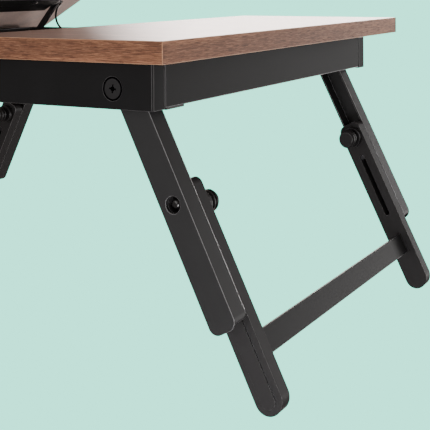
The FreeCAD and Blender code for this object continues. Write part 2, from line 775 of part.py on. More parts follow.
for side, sign in (("near", -1), ("far", 1)):
    def lay(label, low, wide, base_z, high, long_from="tray_back", long="%s" % TRAY_LEN):
        """Strip along X between two distances from the centre line, on this side."""
        y = low if sign > 0 else "-(%s) - (%s)" % (low, wide)
        return box(label, (long, wide, high), (long_from, y, base_z))

    web = lay("slide_web_" + side, "tray_half", "1.2", "tray_z + 6", "tray_hgt - 8")
    tongue = lay("slide_tongue_" + side, "tray_half", "runner_half - runner_wall - tray_half - 0.4",
                 "seat_z - 16", "1.6")
    keep(fuse("slide_profile_" + side, [web, tongue]), "slide_" + side)
    reach = "front_x - 1 - runner_x"
    back = lay("runner_back_" + side, "runner_half - runner_wall", "runner_wall",
               "seat_z - 19", "19", "runner_x", reach)
    lip = lay("runner_lip_" + side, "tray_half + 1.6",
              "runner_half - tray_half - 1.6", "seat_z - 19", "2.7", "runner_x", reach)
    crown = lay("runner_crown_" + side, "tray_half + 1.6",
                "runner_half - tray_half - 1.6", "seat_z - 14.1", "2", "runner_x", reach)
    keep(fuse("runner_profile_" + side, [back, lip, crown]), "runner_" + side)


# ---------------------------------------------------------------- panel hinge and prop
for side, sign in (("near", "-"), ("far", "")):
    start = "%shinge_half - hinge_wid / 2" % sign
    third = "hinge_wid / 3"

    # leaf on the rail: outer knuckles, drawn about the barrel axis
    leaf = box("rail_leaf_plate_" + side, ("leaf_thk", "hinge_wid", "20"),
               ("barrel_off - leaf_thk", start, "-20"))
    knuckle_a = rod("rail_leaf_knuckle_a_" + side, "barrel_dia", third + " - 0.3",
                    ("0", start, "0"))
    knuckle_b = rod("rail_leaf_knuckle_b_" + side, "barrel_dia", third + " - 0.3",
                    ("0", "%s + 2 * %s + 0.3" % (start, third), "0"))
    relief = box("rail_leaf_relief_" + side, ("6", third + " + 0.6", "8"),
                 ("0", "%s + %s - 0.3" % (start, third), "-4"))
    body = cut("rail_leaf_trim_" + side,
               fuse("rail_leaf_blank_" + side, [leaf, knuckle_a, knuckle_b]), [relief])
    bore = rod("rail_leaf_bore_" + side, "hinge_pin + 2 * fit", "hinge_wid + 2",
               ("0", start + " - 1", "0"))
    keep(cut("rail_leaf_drilled_" + side, body, [bore]), "hinge_rail_leaf_" + side, HINGE)

    # leaf under the panel's overhang: middle knuckle
    plate = box("panel_leaf_plate_" + side, ("20", "hinge_wid", "leaf_thk"),
                ("-20", start, "barrel_low - leaf_thk"))
    notch_a = box("panel_leaf_notch_a_" + side, ("5", third + " + 0.3", "8"),
                  ("-4.5", start + " - 0.3", "-4"))
    notch_b = box("panel_leaf_notch_b_" + side, ("5", third + " + 0.6", "8"),
                  ("-4.5", "%s + 2 * %s" % (start, third), "-4"))
    knuckle = rod("panel_leaf_knuckle_" + side, "barrel_dia", third,
                  ("0", "%s + %s" % (start, third), "0"))
    trimmed = cut("panel_leaf_trim_" + side, plate, [notch_a, notch_b])
    joined = fuse("panel_leaf_blank_" + side, [trimmed, knuckle])
    eye = rod("panel_leaf_bore_" + side, "hinge_pin", "hinge_wid + 2", ("0", start + " - 1", "0"))
    keep(cut("panel_leaf_drilled_" + side, joined, [eye]), "hinge_panel_leaf_" + side,
         HINGE, RAISE, "tilt")
    keep(rod("hinge_pin_rod_" + side, "hinge_pin", "hinge_wid", ("hinge_x", start, "hinge_z")),
         "hinge_pin_" + side)


def tilting(obj, label):
    """Keep a sub-part that is drawn in the panel's own frame."""
    return keep(obj, label, HINGE, RAISE, "tilt")


brace = new_body("panel_brace")
brace_plan = new_sketch(brace, "brace_plan", "XY_Plane",
                        ("brace_at", "0", "barrel_low - brace_hgt"))
rectangle(brace_plan, "brace_wid", "2 * brace_half")
grow(brace, "brace_bar", brace_plan, "brace_hgt")
tilting(brace, "panel_brace")

studs = []
springs = []
for side, sign in (("near", -1), ("far", 1)):
    near = side == "near"
    way = "-" if near else ""
    away = "" if near else "-"

    # bevelled cheek on the brace's end, with the prop's pivot pin riveted in
    cheek = new_body("brace_end_" + side)
    face = new_sketch(cheek, "brace_end_outline_" + side, "XZ_Plane",
                      ("(prop_at + brace_at) / 2", "barrel_low - brace_hgt / 2",
                       away + "brace_half"))
    rectangle(face, "brace_at - prop_at + 18", "brace_hgt")
    grow(cheek, "brace_end_plate_" + side, face, "cheek_thk", not near)
    bevel(cheek, "brace_end_bevel_" + side, "cheek_bevel",
          low_corner(SIZE["barrel_low"] - SIZE["brace_hgt"]))
    pivot = new_sketch(cheek, "brace_end_pivot_" + side, "XZ_Plane",
                       ("prop_at", "-prop_low", away + "brace_half"))
    disc(pivot, "prop_pin")
    grow(cheek, "brace_end_pin_" + side, pivot, "rail_in - 2.5 - brace_half", not near)
    tilting(cheek, "brace_end_" + side)

    # prop link, drawn hanging from its pivot, with its foot pin over the rack
    link = new_body("prop_link_" + side)
    plan = new_sketch(link, "prop_outline_" + side, "XZ_Plane",
                      ("0", "prop_wid / 2", "0"))
    slab(plan, "prop_wid", "prop_len + prop_wid", "prop_wid / 2 - 0.01", "prop_wid / 2 - 0.01")
    grow(link, "prop_bar_" + side, plan, "prop_thk", not near)
    eye = new_sketch(link, "prop_eye_" + side, "XZ_Plane")
    disc(eye, "prop_pin + 2 * fit")
    hollow(link, "prop_hole_" + side, eye, "prop_thk", near)
    foot = new_sketch(link, "prop_foot_" + side, "XZ_Plane", ("0", "-prop_len", "0"))
    disc(foot, "foot_pin")
    grow(link, "prop_foot_pin_" + side, foot, "rail_in - 1.6 - prop_y", not near)
    keep(link, "prop_link_" + side, ("prop_x", way + "prop_y", "prop_z"),
         V(0, 1, 0), "90 - prop_lean")

    # open rack on the rail's inner face
    def shelf(label, wide, long, low, high, from_x):
        """Block of the rack that reaches inwards from the rail's inner face."""
        y = "-rail_in" if near else "rail_in - (%s)" % wide
        return box(label, (long, wide, high), (from_x, y, low))

    floor = shelf("rack_floor_" + side, "rack_wid", "rack_len", "seat_z - rack_drop", "rack_thk",
                  "rack_x")
    flange = shelf("rack_flange_" + side, "1.2", "rack_len", "seat_z - rack_drop", "8", "rack_x")
    stop_a = shelf("rack_stop_a_" + side, "rack_wid", "rack_thk", "seat_z - rack_drop", "7", "rack_x")
    stop_b = shelf("rack_stop_b_" + side, "rack_wid", "rack_thk", "seat_z - rack_drop", "7",
                   "rack_x + rack_len - rack_thk")
    keep(fuse("rack_profile_" + side, [floor, flange, stop_a, stop_b]), "prop_rack_" + side)

    # bow spring: an eight-sided wire arc from a stud on the rail up to the prop's pivot pin
    studs.append(rod("spring_stud_" + side, "stud_dia", "stud_len",
                     ("spring_x", "-rail_in" if near else "rail_in - stud_len", "stud_z")))
    bottom = V(SIZE["spring_x"], 0, SIZE["stud_z"] + SIZE["stud_dia"] / 2 + SIZE["wire_gap"])
    top = V(SIZE["prop_x"], 0, SIZE["prop_z"] - SIZE["prop_pin"] / 2 - SIZE["wire_gap"])
    middle = (bottom + top) * 0.5 + V(-SIZE["spring_bow"], 0, 0)
    path = Part.Wire([Part.Arc(bottom, middle, top).toShape()])
    heading = path.Edges[0].tangentAt(path.Edges[0].FirstParameter)
    spoke = V(0, SIZE["spring_wire"] / 2, 0)
    ring = [bottom + FreeCAD.Rotation(heading, 45.0 * step).multVec(spoke) for step in range(9)]
    section = Part.makePolygon(ring)
    spring = doc.addObject("Part::Feature", "bow_spring_wire_" + side)
    spring.Shape = path.makePipeShell([section], True, False)
    springs.append(place(spring, ("0", "%s(rail_in - stud_len + 1)" % way, "0")))
gather("spring_studs", studs)
gather("bow_springs", springs)

# ---------------------------------------------------------------- checks and files
doc.recompute()
for item in doc.Objects:
    if "Invalid" in item.State or "Error" in item.State:
        raise RuntimeError("%s did not recompute: %s" % (item.Name, item.State))
for item, count in PARTS:
    if item.Shape.isNull() or not item.Shape.isValid():
        raise RuntimeError("%s has no valid shape" % item.Label)
    if len(item.Shape.Solids) != count:
        raise RuntimeError("%s has %d solids" % (item.Label, len(item.Shape.Solids)))

os.makedirs("parts", exist_ok=True)
for item, count in PARTS:
    item.Shape.exportStep("parts/%s.step" % item.Label)
print("wrote %d parts, %s" % (len(PARTS), doc.Name))
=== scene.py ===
"""Looks of the folding laptop table: laminate boards, powder-coated frame, light and camera."""
import json
import logging
import math
from dataclasses import dataclass, replace
from enum import Enum, IntEnum
from typing import Dict, List, Mapping, Optional, Sequence, Tuple, Union

import bmesh
import bpy
from mathutils import Matrix, Vector


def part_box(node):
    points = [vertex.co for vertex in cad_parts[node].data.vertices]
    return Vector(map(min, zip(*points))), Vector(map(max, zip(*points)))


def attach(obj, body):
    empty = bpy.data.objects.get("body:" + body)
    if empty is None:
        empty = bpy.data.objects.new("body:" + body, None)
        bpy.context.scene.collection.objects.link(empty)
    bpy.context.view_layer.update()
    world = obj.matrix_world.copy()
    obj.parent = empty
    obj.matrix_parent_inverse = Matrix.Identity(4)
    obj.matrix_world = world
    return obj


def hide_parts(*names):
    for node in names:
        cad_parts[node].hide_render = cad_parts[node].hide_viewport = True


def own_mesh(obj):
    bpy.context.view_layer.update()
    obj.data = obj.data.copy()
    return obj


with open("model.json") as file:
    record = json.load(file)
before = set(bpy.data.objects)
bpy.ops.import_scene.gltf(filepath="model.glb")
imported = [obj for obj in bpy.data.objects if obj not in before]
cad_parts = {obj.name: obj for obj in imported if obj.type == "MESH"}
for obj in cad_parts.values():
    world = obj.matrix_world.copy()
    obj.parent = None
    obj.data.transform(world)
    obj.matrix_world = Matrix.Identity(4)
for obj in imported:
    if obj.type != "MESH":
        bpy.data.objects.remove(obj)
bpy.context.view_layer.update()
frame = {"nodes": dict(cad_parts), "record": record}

log = logging.getLogger("laptop_table")

MM = 0.001
# Points nearer than this to an outermost face belong to it.
GRAZE = 0.05 * MM
Colour = Tuple[float, float, float]
Profile = Sequence[Tuple[float, float]]


def srgb(red: int, green: int, blue: int) -> Colour:
    """Linear colour of an 8-bit sRGB one.

    Args:
        red: red, 0 to 255.
        green: green, 0 to 255.
        blue: blue, 0 to 255.

    Returns:
        Linear red, green and blue.
    """
    def channel(value: int) -> float:
        """Linear part of one 8-bit channel."""
        part = value / 255.0
        return part / 12.92 if part <= 0.04045 else ((part + 0.055) / 1.055) ** 2.4

    return channel(red), channel(green), channel(blue)


class Along(Enum):
    """Direction of the wood grain, as the factors that squeeze the noise space."""

    X = (1.0, 14.0, 14.0)
    Y = (14.0, 1.0, 14.0)


class BoardSurface(IntEnum):
    """Material index of a board's surfaces."""

    TOP = 0
    LONG_EDGE = 1
    CROSS_EDGE = 2
    ARRIS = 3
    UNDERSIDE = 4


class NodeSurface(IntEnum):
    """Material index of a softened node's surfaces."""

    COAT = 0
    # Paler, more metallic coat on the broken edges: a painted highlight.
    HIGHLIT_EDGE = 1
    # Near-black coat in carved recesses: painted shade.
    RECESS_SHADE = 2
    GLOSS = 3


class HeadSurface(IntEnum):
    """Material index of a screw head's surfaces."""

    HEAD = 0
    # Near-black coat in the cross recess: painted shade.
    RECESS_SHADE = 1


# --------------------------------------------------------------------------- shader maths
class Value:
    """A shader socket that can be written in formulas."""

    def __init__(self, graph: "Graph", socket: bpy.types.NodeSocket) -> None:
        """Wrap an output socket of a graph."""
        self.graph = graph
        self.socket = socket

    def __add__(self, other: "Number") -> "Value":
        """This value plus another."""
        return self.graph.math("ADD", self, other)

    def __radd__(self, other: "Number") -> "Value":
        """Another value plus this one."""
        return self.graph.math("ADD", other, self)

    def __sub__(self, other: "Number") -> "Value":
        """This value less another."""
        return self.graph.math("SUBTRACT", self, other)

    def __rsub__(self, other: "Number") -> "Value":
        """Another value less this one."""
        return self.graph.math("SUBTRACT", other, self)

    def __mul__(self, other: "Number") -> "Value":
        """This value times another."""
        return self.graph.math("MULTIPLY", self, other)

    def __rmul__(self, other: "Number") -> "Value":
        """Another value times this one."""
        return self.graph.math("MULTIPLY", other, self)

    def step(self, low: float, high: float) -> "Value":
        """Smooth step.

        Args:
            low: where it is 0.
            high: where it is 1.

        Returns:
            The stepped value.
        """
        made = self.graph.node("ShaderNodeMapRange", {"interpolation_type": "SMOOTHSTEP"},
                               {"Value": self, "From Min": low, "From Max": high})
        return Value(self.graph, made.outputs["Result"])


Number = Union[Value, float]
Input = Union[Value, float, Sequence[float]]


@dataclass(frozen=True)
class Noise:
    """Settings of a noise texture.

    Attributes:
        scale: noise scale in Object coordinates.
        detail: number of octaves.
        rough: weight of the finer octaves.
        twist: distortion.
    """

    scale: float
    detail: float = 3.0
    rough: float = 0.5
    twist: float = 0.0


class Graph:
    """Node tree that formulas add their nodes to.

    The MIX_ values number the colour sockets of a Mix node, whose names repeat for each type.
    """

    MIX_FACTOR, MIX_FIRST, MIX_SECOND, MIX_RESULT = 0, 6, 7, 2

    def __init__(self, tree: bpy.types.NodeTree) -> None:
        """Write into a node tree."""
        self.tree = tree

    def feed(self, socket: bpy.types.NodeSocket, value: Input) -> None:
        """Link a formula to a socket, or set it to a constant.

        Args:
            socket: input socket.
            value: formula, number, vector or linear colour.
        """
        if isinstance(value, Value):
            self.tree.links.new(value.socket, socket)
        else:
            socket.default_value = (*value, 1.0) if socket.type == "RGBA" else value

    def node(self, kind: str, settings: Optional[Mapping[str, object]] = None,
             sockets: Optional[Mapping[Union[str, int], Input]] = None) -> bpy.types.Node:
        """New node.

        Args:
            kind: node type.
            settings: its own settings, which are set first.
            sockets: what feeds its inputs, by name or number.

        Returns:
            The node.
        """
        made = self.tree.nodes.new(kind)
        for key, setting in (settings or {}).items():
            setattr(made, key, setting)
        for key, value in (sockets or {}).items():
            self.feed(made.inputs[key], value)
        return made

    def math(self, operation: str, first: Number, second: Number) -> Value:
        """One Math node.

        Args:
            operation: its operation.
            first: first operand.
            second: second operand.

        Returns:
            Its result.
        """
        made = self.node("ShaderNodeMath", {"operation": operation}, {0: first, 1: second})
        return Value(self, made.outputs[0])

    def place(self, scale: Sequence[float] = (1.0, 1.0, 1.0),
              shift: Sequence[float] = (0.0, 0.0, 0.0)) -> Value:
        """Object coordinates, scaled and moved.

        Args:
            scale: factor on each axis.
            shift: move in metres.

        Returns:
            The coordinates.
        """
        coords = Value(self, self.node("ShaderNodeTexCoord").outputs["Object"])
        made = self.node("ShaderNodeMapping",
                         sockets={"Vector": coords, "Scale": scale, "Location": shift})
        return Value(self, made.outputs["Vector"])

    def noise(self, place: Value, kind: Noise, dense: float = 1.0) -> Value:
        """Noise texture.

        Args:
            place: coordinates.
            kind: its settings.
            dense: multiplies its scale.

        Returns:
            Its factor.
        """
        made = self.node("ShaderNodeTexNoise", sockets={
            "Vector": place, "Scale": kind.scale * dense, "Detail": kind.detail,
            "Roughness": kind.rough, "Distortion": kind.twist})
        return Value(self, made.outputs[0])

    def blend(self, factor: Value, first: Union[Value, Colour],
              second: Union[Value, Colour]) -> Value:
        """Colour mix.

        Args:
            factor: share of the second colour.
            first: colour at 0.
            second: colour at 1.

        Returns:
            The mixed colour.
        """
        made = self.node("ShaderNodeMix", {"data_type": "RGBA"},
                         {self.MIX_FACTOR: factor, self.MIX_FIRST: first,
                          self.MIX_SECOND: second})
        return Value(self, made.outputs[self.MIX_RESULT])


class Surface(Graph):
    """Node tree of one material around a Principled shader."""

    def __init__(self, name: str) -> None:
        """Start a material of a name."""
        self.material = bpy.data.materials.new(name)
        self.material.use_nodes = True
        super().__init__(self.material.node_tree)
        self.shader = self.tree.nodes["Principled BSDF"]

    def set(self, socket: str, value: Input) -> None:
        """Set or feed a socket of the shader."""
        self.feed(self.shader.inputs[socket], value)

    def bump(self, height: Value, strength: float, distance: float) -> None:
        """Bump on the shader's normal.

        Args:
            height: height of the relief.
            strength: share of the full relief.
            distance: full relief in metres.
        """
        made = self.node("ShaderNodeBump", sockets={
            "Strength": strength, "Distance": distance, "Height": height})
        self.set("Normal", Value(self, made.outputs["Normal"]))


# --------------------------------------------------------------------------- finishes
@dataclass(frozen=True)
class Walnut:
    """Printed walnut laminate.

    The _SHARE values weigh a layer's colour, the _BAND values are where it begins and ends, the
    _ROUGH values add roughness and the _DULL values thin the lacquer.

    Attributes:
        name: material name.
        along: grain direction.
        tone: multiplies the colours.
        rough: middle roughness.
        shine: specular level.
        dense: multiplies the streaks' density.
        lacquer: weight of the clear top layer.
        painted_glare: share of a mauve-grey painted reflection of glare over the print.
        seed: offset of the pattern, in metres.
        figure: broad bands of the ground.
        streaks: dark streaks.
        fibres: fine pale fibres.
        pores: short dark pores.
        pore_stretch: power that lengthens the pores along the grain.
    """

    name: str
    along: Along
    tone: float = 1.0
    rough: float = 0.24
    shine: float = 0.5
    dense: float = 1.0
    lacquer: float = 0.0
    painted_glare: float = 0.0
    seed: float = 0.0
    figure: Noise = Noise(6.0, 3.0, 0.55, 0.8)
    streaks: Noise = Noise(14.0, 5.0, 0.62, 0.35)
    fibres: Noise = Noise(46.0, 4.0, 0.68, 0.2)
    pores: Noise = Noise(40.0, 3.0, 0.6)
    pore_stretch: float = 1.18

    DARK_GROUND = (124, 80, 55)
    PALE_GROUND = (174, 119, 86)
    STREAK = (98, 59, 40)
    FIBRE = (186, 132, 98)
    PORE = (70, 40, 27)
    # Mauve-grey of the painted reflection of glare.
    GLARE_GREY = (222, 204, 198)
    FIGURE_BAND = (0.34, 0.68)
    STREAK_BAND = (0.36, 0.64)
    FIBRE_BAND = (0.46, 0.68)
    PORE_BAND = (0.01, 0.09)
    PORE_LEVEL = 0.49
    STREAK_SHARE = 0.68
    FIBRE_SHARE = 0.62
    PORE_SHARE = 0.78
    SHIFT_WAY = (1.0, 0.7, 1.3)
    GLARE_LEAST = 0.8
    GLARE_FIBRE = 0.4
    PORE_ROUGH = 0.08
    FIBRE_ROUGH = 0.05
    PORE_DULL = 0.30
    FIBRE_DULL = 0.15
    LACQUER_ROUGH = 0.15
    LACQUER_INDEX = 1.5
    FIBRE_RISE = 0.6
    RELIEF_STRENGTH = 0.10
    RELIEF = 0.10 * MM

    def tint(self, colour: Tuple[int, int, int]) -> Colour:
        """Linear colour of an 8-bit one, in this laminate's tone."""
        return tuple(self.tone * part for part in srgb(*colour))

    def build(self) -> bpy.types.Material:
        """Mix the ground, streaks, fibres and pores, and a painted reflection of glare where
        asked.

        Returns:
            The material.
        """
        graph = Surface(self.name)
        squeeze = self.along.value
        shift = [self.seed * part for part in self.SHIFT_WAY]
        place = graph.place(squeeze, shift)
        long = graph.place([part ** self.pore_stretch for part in squeeze], shift)
        wide = graph.noise(place, self.figure)
        streak = graph.noise(place, self.streaks, self.dense)
        fine = graph.noise(place, self.fibres, self.dense)
        pores = graph.noise(long, self.pores, self.dense)
        dash = (self.PORE_LEVEL - pores).step(*self.PORE_BAND)

        base = graph.blend(wide.step(*self.FIGURE_BAND), self.tint(self.DARK_GROUND),
                           self.tint(self.PALE_GROUND))
        base = graph.blend(streak.step(*self.STREAK_BAND) * self.STREAK_SHARE, base,
                           self.tint(self.STREAK))
        base = graph.blend(fine.step(*self.FIBRE_BAND) * self.FIBRE_SHARE, base,
                           self.tint(self.FIBRE))
        base = graph.blend(dash * self.PORE_SHARE, base, self.tint(self.PORE))
        # Painted reflection of glare: blends the print towards mauve-grey, more along the
        # fibres.
        if self.painted_glare > 0.0:
            base = graph.blend(self.painted_glare * (self.GLARE_LEAST + self.GLARE_FIBRE * fine), base,
                               srgb(*self.GLARE_GREY))
        graph.set("Base Color", base)
        graph.set("Roughness", self.rough + self.PORE_ROUGH * dash + self.FIBRE_ROUGH * fine)
        graph.set("Specular IOR Level", self.shine)
        graph.set("Coat Weight",
                  self.lacquer * (1.0 - self.PORE_DULL * dash - self.FIBRE_DULL * fine))
        graph.set("Coat Roughness", self.LACQUER_ROUGH)
        graph.set("Coat IOR", self.LACQUER_INDEX)
        graph.bump(self.FIBRE_RISE * fine - dash, self.RELIEF_STRENGTH, self.RELIEF)
        return graph.material


@dataclass(frozen=True)
class Coat:
    """Powder coat, moulded plastic, wire or felt with a fine peel.

    The edge values make the coat paler, more metallic and glossier over an edge: a painted
    highlight.

    Attributes:
        name: material name.
        colour: linear base colour.
        rough: middle roughness.
        metal: metallic.
        grain: size of the peel, as noise scale.
        relief: bump strength.
        wear: how much paler the tone gets in patches.
        shine: specular level.
        glint: how much paler the coat is painted over edges, as a painted highlight.
    """

    name: str
    colour: Colour
    rough: float = 0.42
    metal: float = 0.0
    grain: float = 1400.0
    relief: float = 0.05
    wear: float = 0.25
    shine: float = 0.30
    glint: float = 1.7

    PATCHES = Noise(18.0, 4.0, 0.6, 0.3)
    PATCH_BAND = (0.35, 0.7)
    PEEL_DETAIL = 2.0
    PEEL_ROUGH = 0.55
    PEEL = 0.08 * MM
    PEEL_SHARE = 0.4
    PATCH_SHARE = 0.6
    ROUGH_LEAST = -0.04
    ROUGH_PATCH = 0.07
    ROUGH_PEEL = 0.03
    WEAR_LIFT = 0.003
    HIGHLIGHT_LIFT = 0.05
    HIGHLIGHT_METAL = 0.6
    HIGHLIGHT_ROUGH = 0.8
    HIGHLIGHT_SHINE = 0.5

    def edge_highlight_coat(self) -> "Coat":
        """Paint a highlight over an edge with a paler, more metallic and glossier coat.

        Returns:
            The paler and glossier coat.
        """
        pale = tuple(min(1.0, part * self.glint + self.HIGHLIGHT_LIFT) for part in self.colour)
        return replace(self, name=self.name + "_edge", colour=pale, metal=self.HIGHLIGHT_METAL,
                       rough=self.rough * self.HIGHLIGHT_ROUGH, shine=self.HIGHLIGHT_SHINE)

    def build(self) -> bpy.types.Material:
        """Mix the peel and soft patches.

        Returns:
            The material.
        """
        graph = Surface(self.name)
        place = graph.place()
        peel = graph.noise(place, Noise(self.grain, self.PEEL_DETAIL, self.PEEL_ROUGH))
        patch = graph.noise(place, self.PATCHES)
        pale = tuple(min(1.0, part * (1.0 + self.wear) + self.WEAR_LIFT * self.wear)
                     for part in self.colour)
        paler = self.PATCH_SHARE * patch.step(*self.PATCH_BAND) + self.PEEL_SHARE * peel
        graph.set("Base Color", graph.blend(paler, self.colour, pale))
        graph.set("Roughness", self.rough + self.ROUGH_LEAST + self.ROUGH_PATCH * patch
                  + self.ROUGH_PEEL * peel)
        graph.set("Metallic", self.metal)
        graph.set("Specular IOR Level", self.shine)
        graph.bump(peel, self.relief, self.PEEL)
        return graph.material


@dataclass(frozen=True)
class EdgeLine:
    """Arris of the laminate, a paler tan line along every edge of a board."""

    name: str = "laminate_arris"

    RUN = (1.0, 1.0, 6.0)
    GRAIN = Noise(120.0, 3.0, 0.6)
    GRAIN_BAND = (0.3, 0.7)
    DARK_TAN = (196, 140, 104)
    PALE_TAN = (222, 172, 134)
    ROUGH = 0.34
    ROUGH_GRAIN = 0.1

    def build(self) -> bpy.types.Material:
        """Mix two tans along a faint grain.

        Returns:
            The material.
        """
        graph = Surface(self.name)
        grain = graph.noise(graph.place(self.RUN), self.GRAIN)
        graph.set("Base Color", graph.blend(grain.step(*self.GRAIN_BAND),
                                            srgb(*self.DARK_TAN), srgb(*self.PALE_TAN)))
        graph.set("Roughness", self.ROUGH + self.ROUGH_GRAIN * grain)
        return graph.material


Finish = Union[Walnut, Coat, EdgeLine]


class Finishes:
    """All materials, built once and looked up by name."""

    def __init__(self) -> None:
        """Start with none."""
        self.made: Dict[str, bpy.types.Material] = {}

    def get(self, finish: Finish) -> bpy.types.Material:
        """Look a finish up, and build it the first time.

        Args:
            finish: the finish.

        Returns:
            Its material.
        """
        if finish.name not in self.made:
            self.made[finish.name] = finish.build()
        return self.made[finish.name]


FINISHES = Finishes()
TOP_GRAIN = Walnut("walnut_top", Along.X, tone=0.9, rough=0.30, lacquer=0.80, dense=1.25)
UNDER_GRAIN = Walnut("walnut_underside", Along.X, tone=0.9, rough=0.62, shine=0.15, painted_glare=0.60,
                     seed=0.55)
EDGE_X = Walnut("walnut_edge_x", Along.X, tone=1.25, rough=0.42, shine=0.25, dense=3.1,
                painted_glare=0.03, seed=0.37)
EDGE_Y = Walnut("walnut_edge_y", Along.Y, tone=1.15, rough=0.42, shine=0.22, dense=3.1,
                seed=0.81)
ARRIS = EdgeLine()
# The rails share the legs' black powder coat; their darker base colour is painted shade.
FRAME_COAT = Coat("frame_coat", srgb(30, 30, 31), rough=0.50, shine=0.10, glint=4.0)
LEG_COAT = Coat("leg_coat", srgb(43, 43, 44), rough=0.48, glint=9.0)
BAR_COAT = Coat("bar_coat", srgb(38, 38, 39), rough=0.50, shine=0.2, glint=2.0)
LOWER_COAT = Coat("lower_leg_coat", srgb(46, 45, 46), rough=0.50, shine=0.2, grain=1100.0,
                  glint=6.0)
CAP_COAT = Coat("cap_plastic", srgb(22, 22, 23), rough=0.50, grain=900.0, relief=0.08,
                shine=0.10, glint=2.0)
PLASTIC = Coat("moulded_plastic", srgb(36, 35, 36), rough=0.42, grain=900.0, relief=0.08)
BRACE_COAT = Coat("brace_coat", srgb(14, 14, 15), rough=0.55, shine=0.12, glint=1.2)
DRAWER_COAT = Coat("drawer_coat", srgb(27, 27, 28), rough=0.50, shine=0.12, glint=4.0)
HARDWARE = Coat("hardware_black", srgb(26, 26, 28), rough=0.36, shine=0.4)
GLOSS = Coat("button_gloss", srgb(20, 20, 21), rough=0.16, relief=0.03, shine=0.8)
# Near-black, matt and without specular: painted shade in recesses and gaps.
RECESS_SHADE = Coat("recess_painted_shade", srgb(3, 3, 4), rough=0.9, shine=0.0, wear=0.1)
STEEL = Coat("turned_steel", srgb(62, 62, 65), rough=0.30, metal=0.9, grain=500.0,
             relief=0.04, shine=0.5)
SCREW = Coat("screw_black", srgb(40, 40, 42), rough=0.30, metal=0.55, grain=700.0, shine=0.5)
# Near-white metal of the leg beads: a painted highlight.
BEAD_HIGHLIGHT = Coat("painted_bead_highlight", srgb(196, 196, 198), rough=0.30, metal=0.9, relief=0.03)
FELT = Coat("drawer_liner", srgb(46, 46, 48), rough=0.95, grain=2600.0, relief=0.6, shine=0.05)
WIRE = Coat("spring_wire", srgb(18, 18, 20), rough=0.30, metal=0.4, relief=0.03)


# --------------------------------------------------------------------------- mesh helpers
def body_of(node: str) -> str:
    """Find the body that holds a node.

    Args:
        node: CAD node.

    Returns:
        Name of the body.
    """
    for body, nodes in frame["record"]["behaviour"]["bodies"].items():
        if node in nodes:
            return body
    raise KeyError(node)


def slot_of(node: str) -> str:
    """Find the material slot of a node.

    Args:
        node: CAD node.

    Returns:
        Name of the slot.
    """
    for entry in frame["record"]["subparts"]:
        if entry["node"] == node:
            return entry["material_slot"]
    raise KeyError(node)


def node_mesh(node: str) -> bmesh.types.BMesh:
    """Copy a CAD node's mesh and weld its facets.

    Args:
        node: CAD node.

    Returns:
        The mesh.
    """
    mesh = bmesh.new()
    mesh.from_mesh(frame["nodes"][node].data)
    bmesh.ops.remove_doubles(mesh, verts=mesh.verts, dist=1e-6)
    return mesh


def corners(points: Sequence[Vector]) -> Tuple[Vector, Vector]:
    """Box round some points.

    Args:
        points: the points.

    Returns:
        Its lowest and highest corner.
    """
    return (Vector([min(point[axis] for point in points) for axis in range(3)]),
            Vector([max(point[axis] for point in points) for axis in range(3)]))


def turn_about(point: Vector, angle: float) -> Matrix:
    """Turn about the line along Y through a point.

    Args:
        point: a point of the line.
        angle: turn in radians.

    Returns:
        The transform.
    """
    return (Matrix.Translation(point) @ Matrix.Rotation(angle, 4, "Y")
            @ Matrix.Translation(-point))


def turned(profile: Profile, steps: int = 40) -> bmesh.types.BMesh:
    """Solid of revolution about +Y, closed at both ends.

    Args:
        profile: (radius, height) pairs from one end to the other.
        steps: segments round the axis.

    Returns:
        The mesh.
    """
    mesh = bmesh.new()
    start = [mesh.verts.new((max(radius, 0.0), height, 0.0)) for radius, height in profile]
    edges = [mesh.edges.new(pair) for pair in zip(start, start[1:])]
    bmesh.ops.spin(mesh, geom=start + edges, cent=(0, 0, 0), axis=(0, 1, 0),
                   angle=2.0 * math.pi, steps=steps, use_merge=True)
    bmesh.ops.remove_doubles(mesh, verts=mesh.verts, dist=1e-7)
    bmesh.ops.recalc_face_normals(mesh, faces=mesh.faces)
    return mesh


def block(size: Sequence[float], middle: Sequence[float] = (0.0, 0.0, 0.0),
          edge: float = 0.0) -> bmesh.types.BMesh:
    """Box of a size round a middle.

    Args:
        size: length along each axis.
        middle: its middle.
        edge: width of its broken edges, or 0.

    Returns:
        The mesh.
    """
    mesh = bmesh.new()
    bmesh.ops.create_cube(mesh, size=1.0)
    bmesh.ops.scale(mesh, vec=size, verts=mesh.verts)
    bmesh.ops.translate(mesh, vec=middle, verts=mesh.verts)
    if edge > 0.0:
        break_edges(mesh, mesh.edges[:], edge)
    return mesh


def bar(start: Vector, end: Vector, radius: float, steps: int = 12) -> bmesh.types.BMesh:
    """Round bar from one point to another.

    Args:
        start: middle of one end.
        end: middle of the other end.
        radius: its radius.
        steps: segments round it.

    Returns:
        The mesh.
    """
    mesh = bmesh.new()
    run = end - start
    bmesh.ops.create_cone(mesh, cap_ends=True, segments=steps, radius1=radius, radius2=radius,
                          depth=run.length)
    turn = Vector((0.0, 0.0, 1.0)).rotation_difference(run.normalized()).to_matrix().to_4x4()
    bmesh.ops.transform(mesh, verts=mesh.verts,
                        matrix=Matrix.Translation((start + end) / 2) @ turn)
    return mesh


def break_edges(mesh: bmesh.types.BMesh, edges: Sequence[bmesh.types.BMEdge], width: float,
                material: int = -1, steps: int = 2, clamp: bool = False) -> None:
    """Round some edges over.

    Args:
        mesh: their mesh.
        edges: the edges.
        width: width of the rounding.
        material: material index of the new faces, or -1 for their neighbours'.
        steps: segments over an edge.
        clamp: whether narrow faces hold the width back.
    """
    bmesh.ops.bevel(mesh, geom=edges, offset=width, offset_type="OFFSET", segments=steps,
                    profile=0.5, affect="EDGES", clamp_overlap=clamp, material=material)


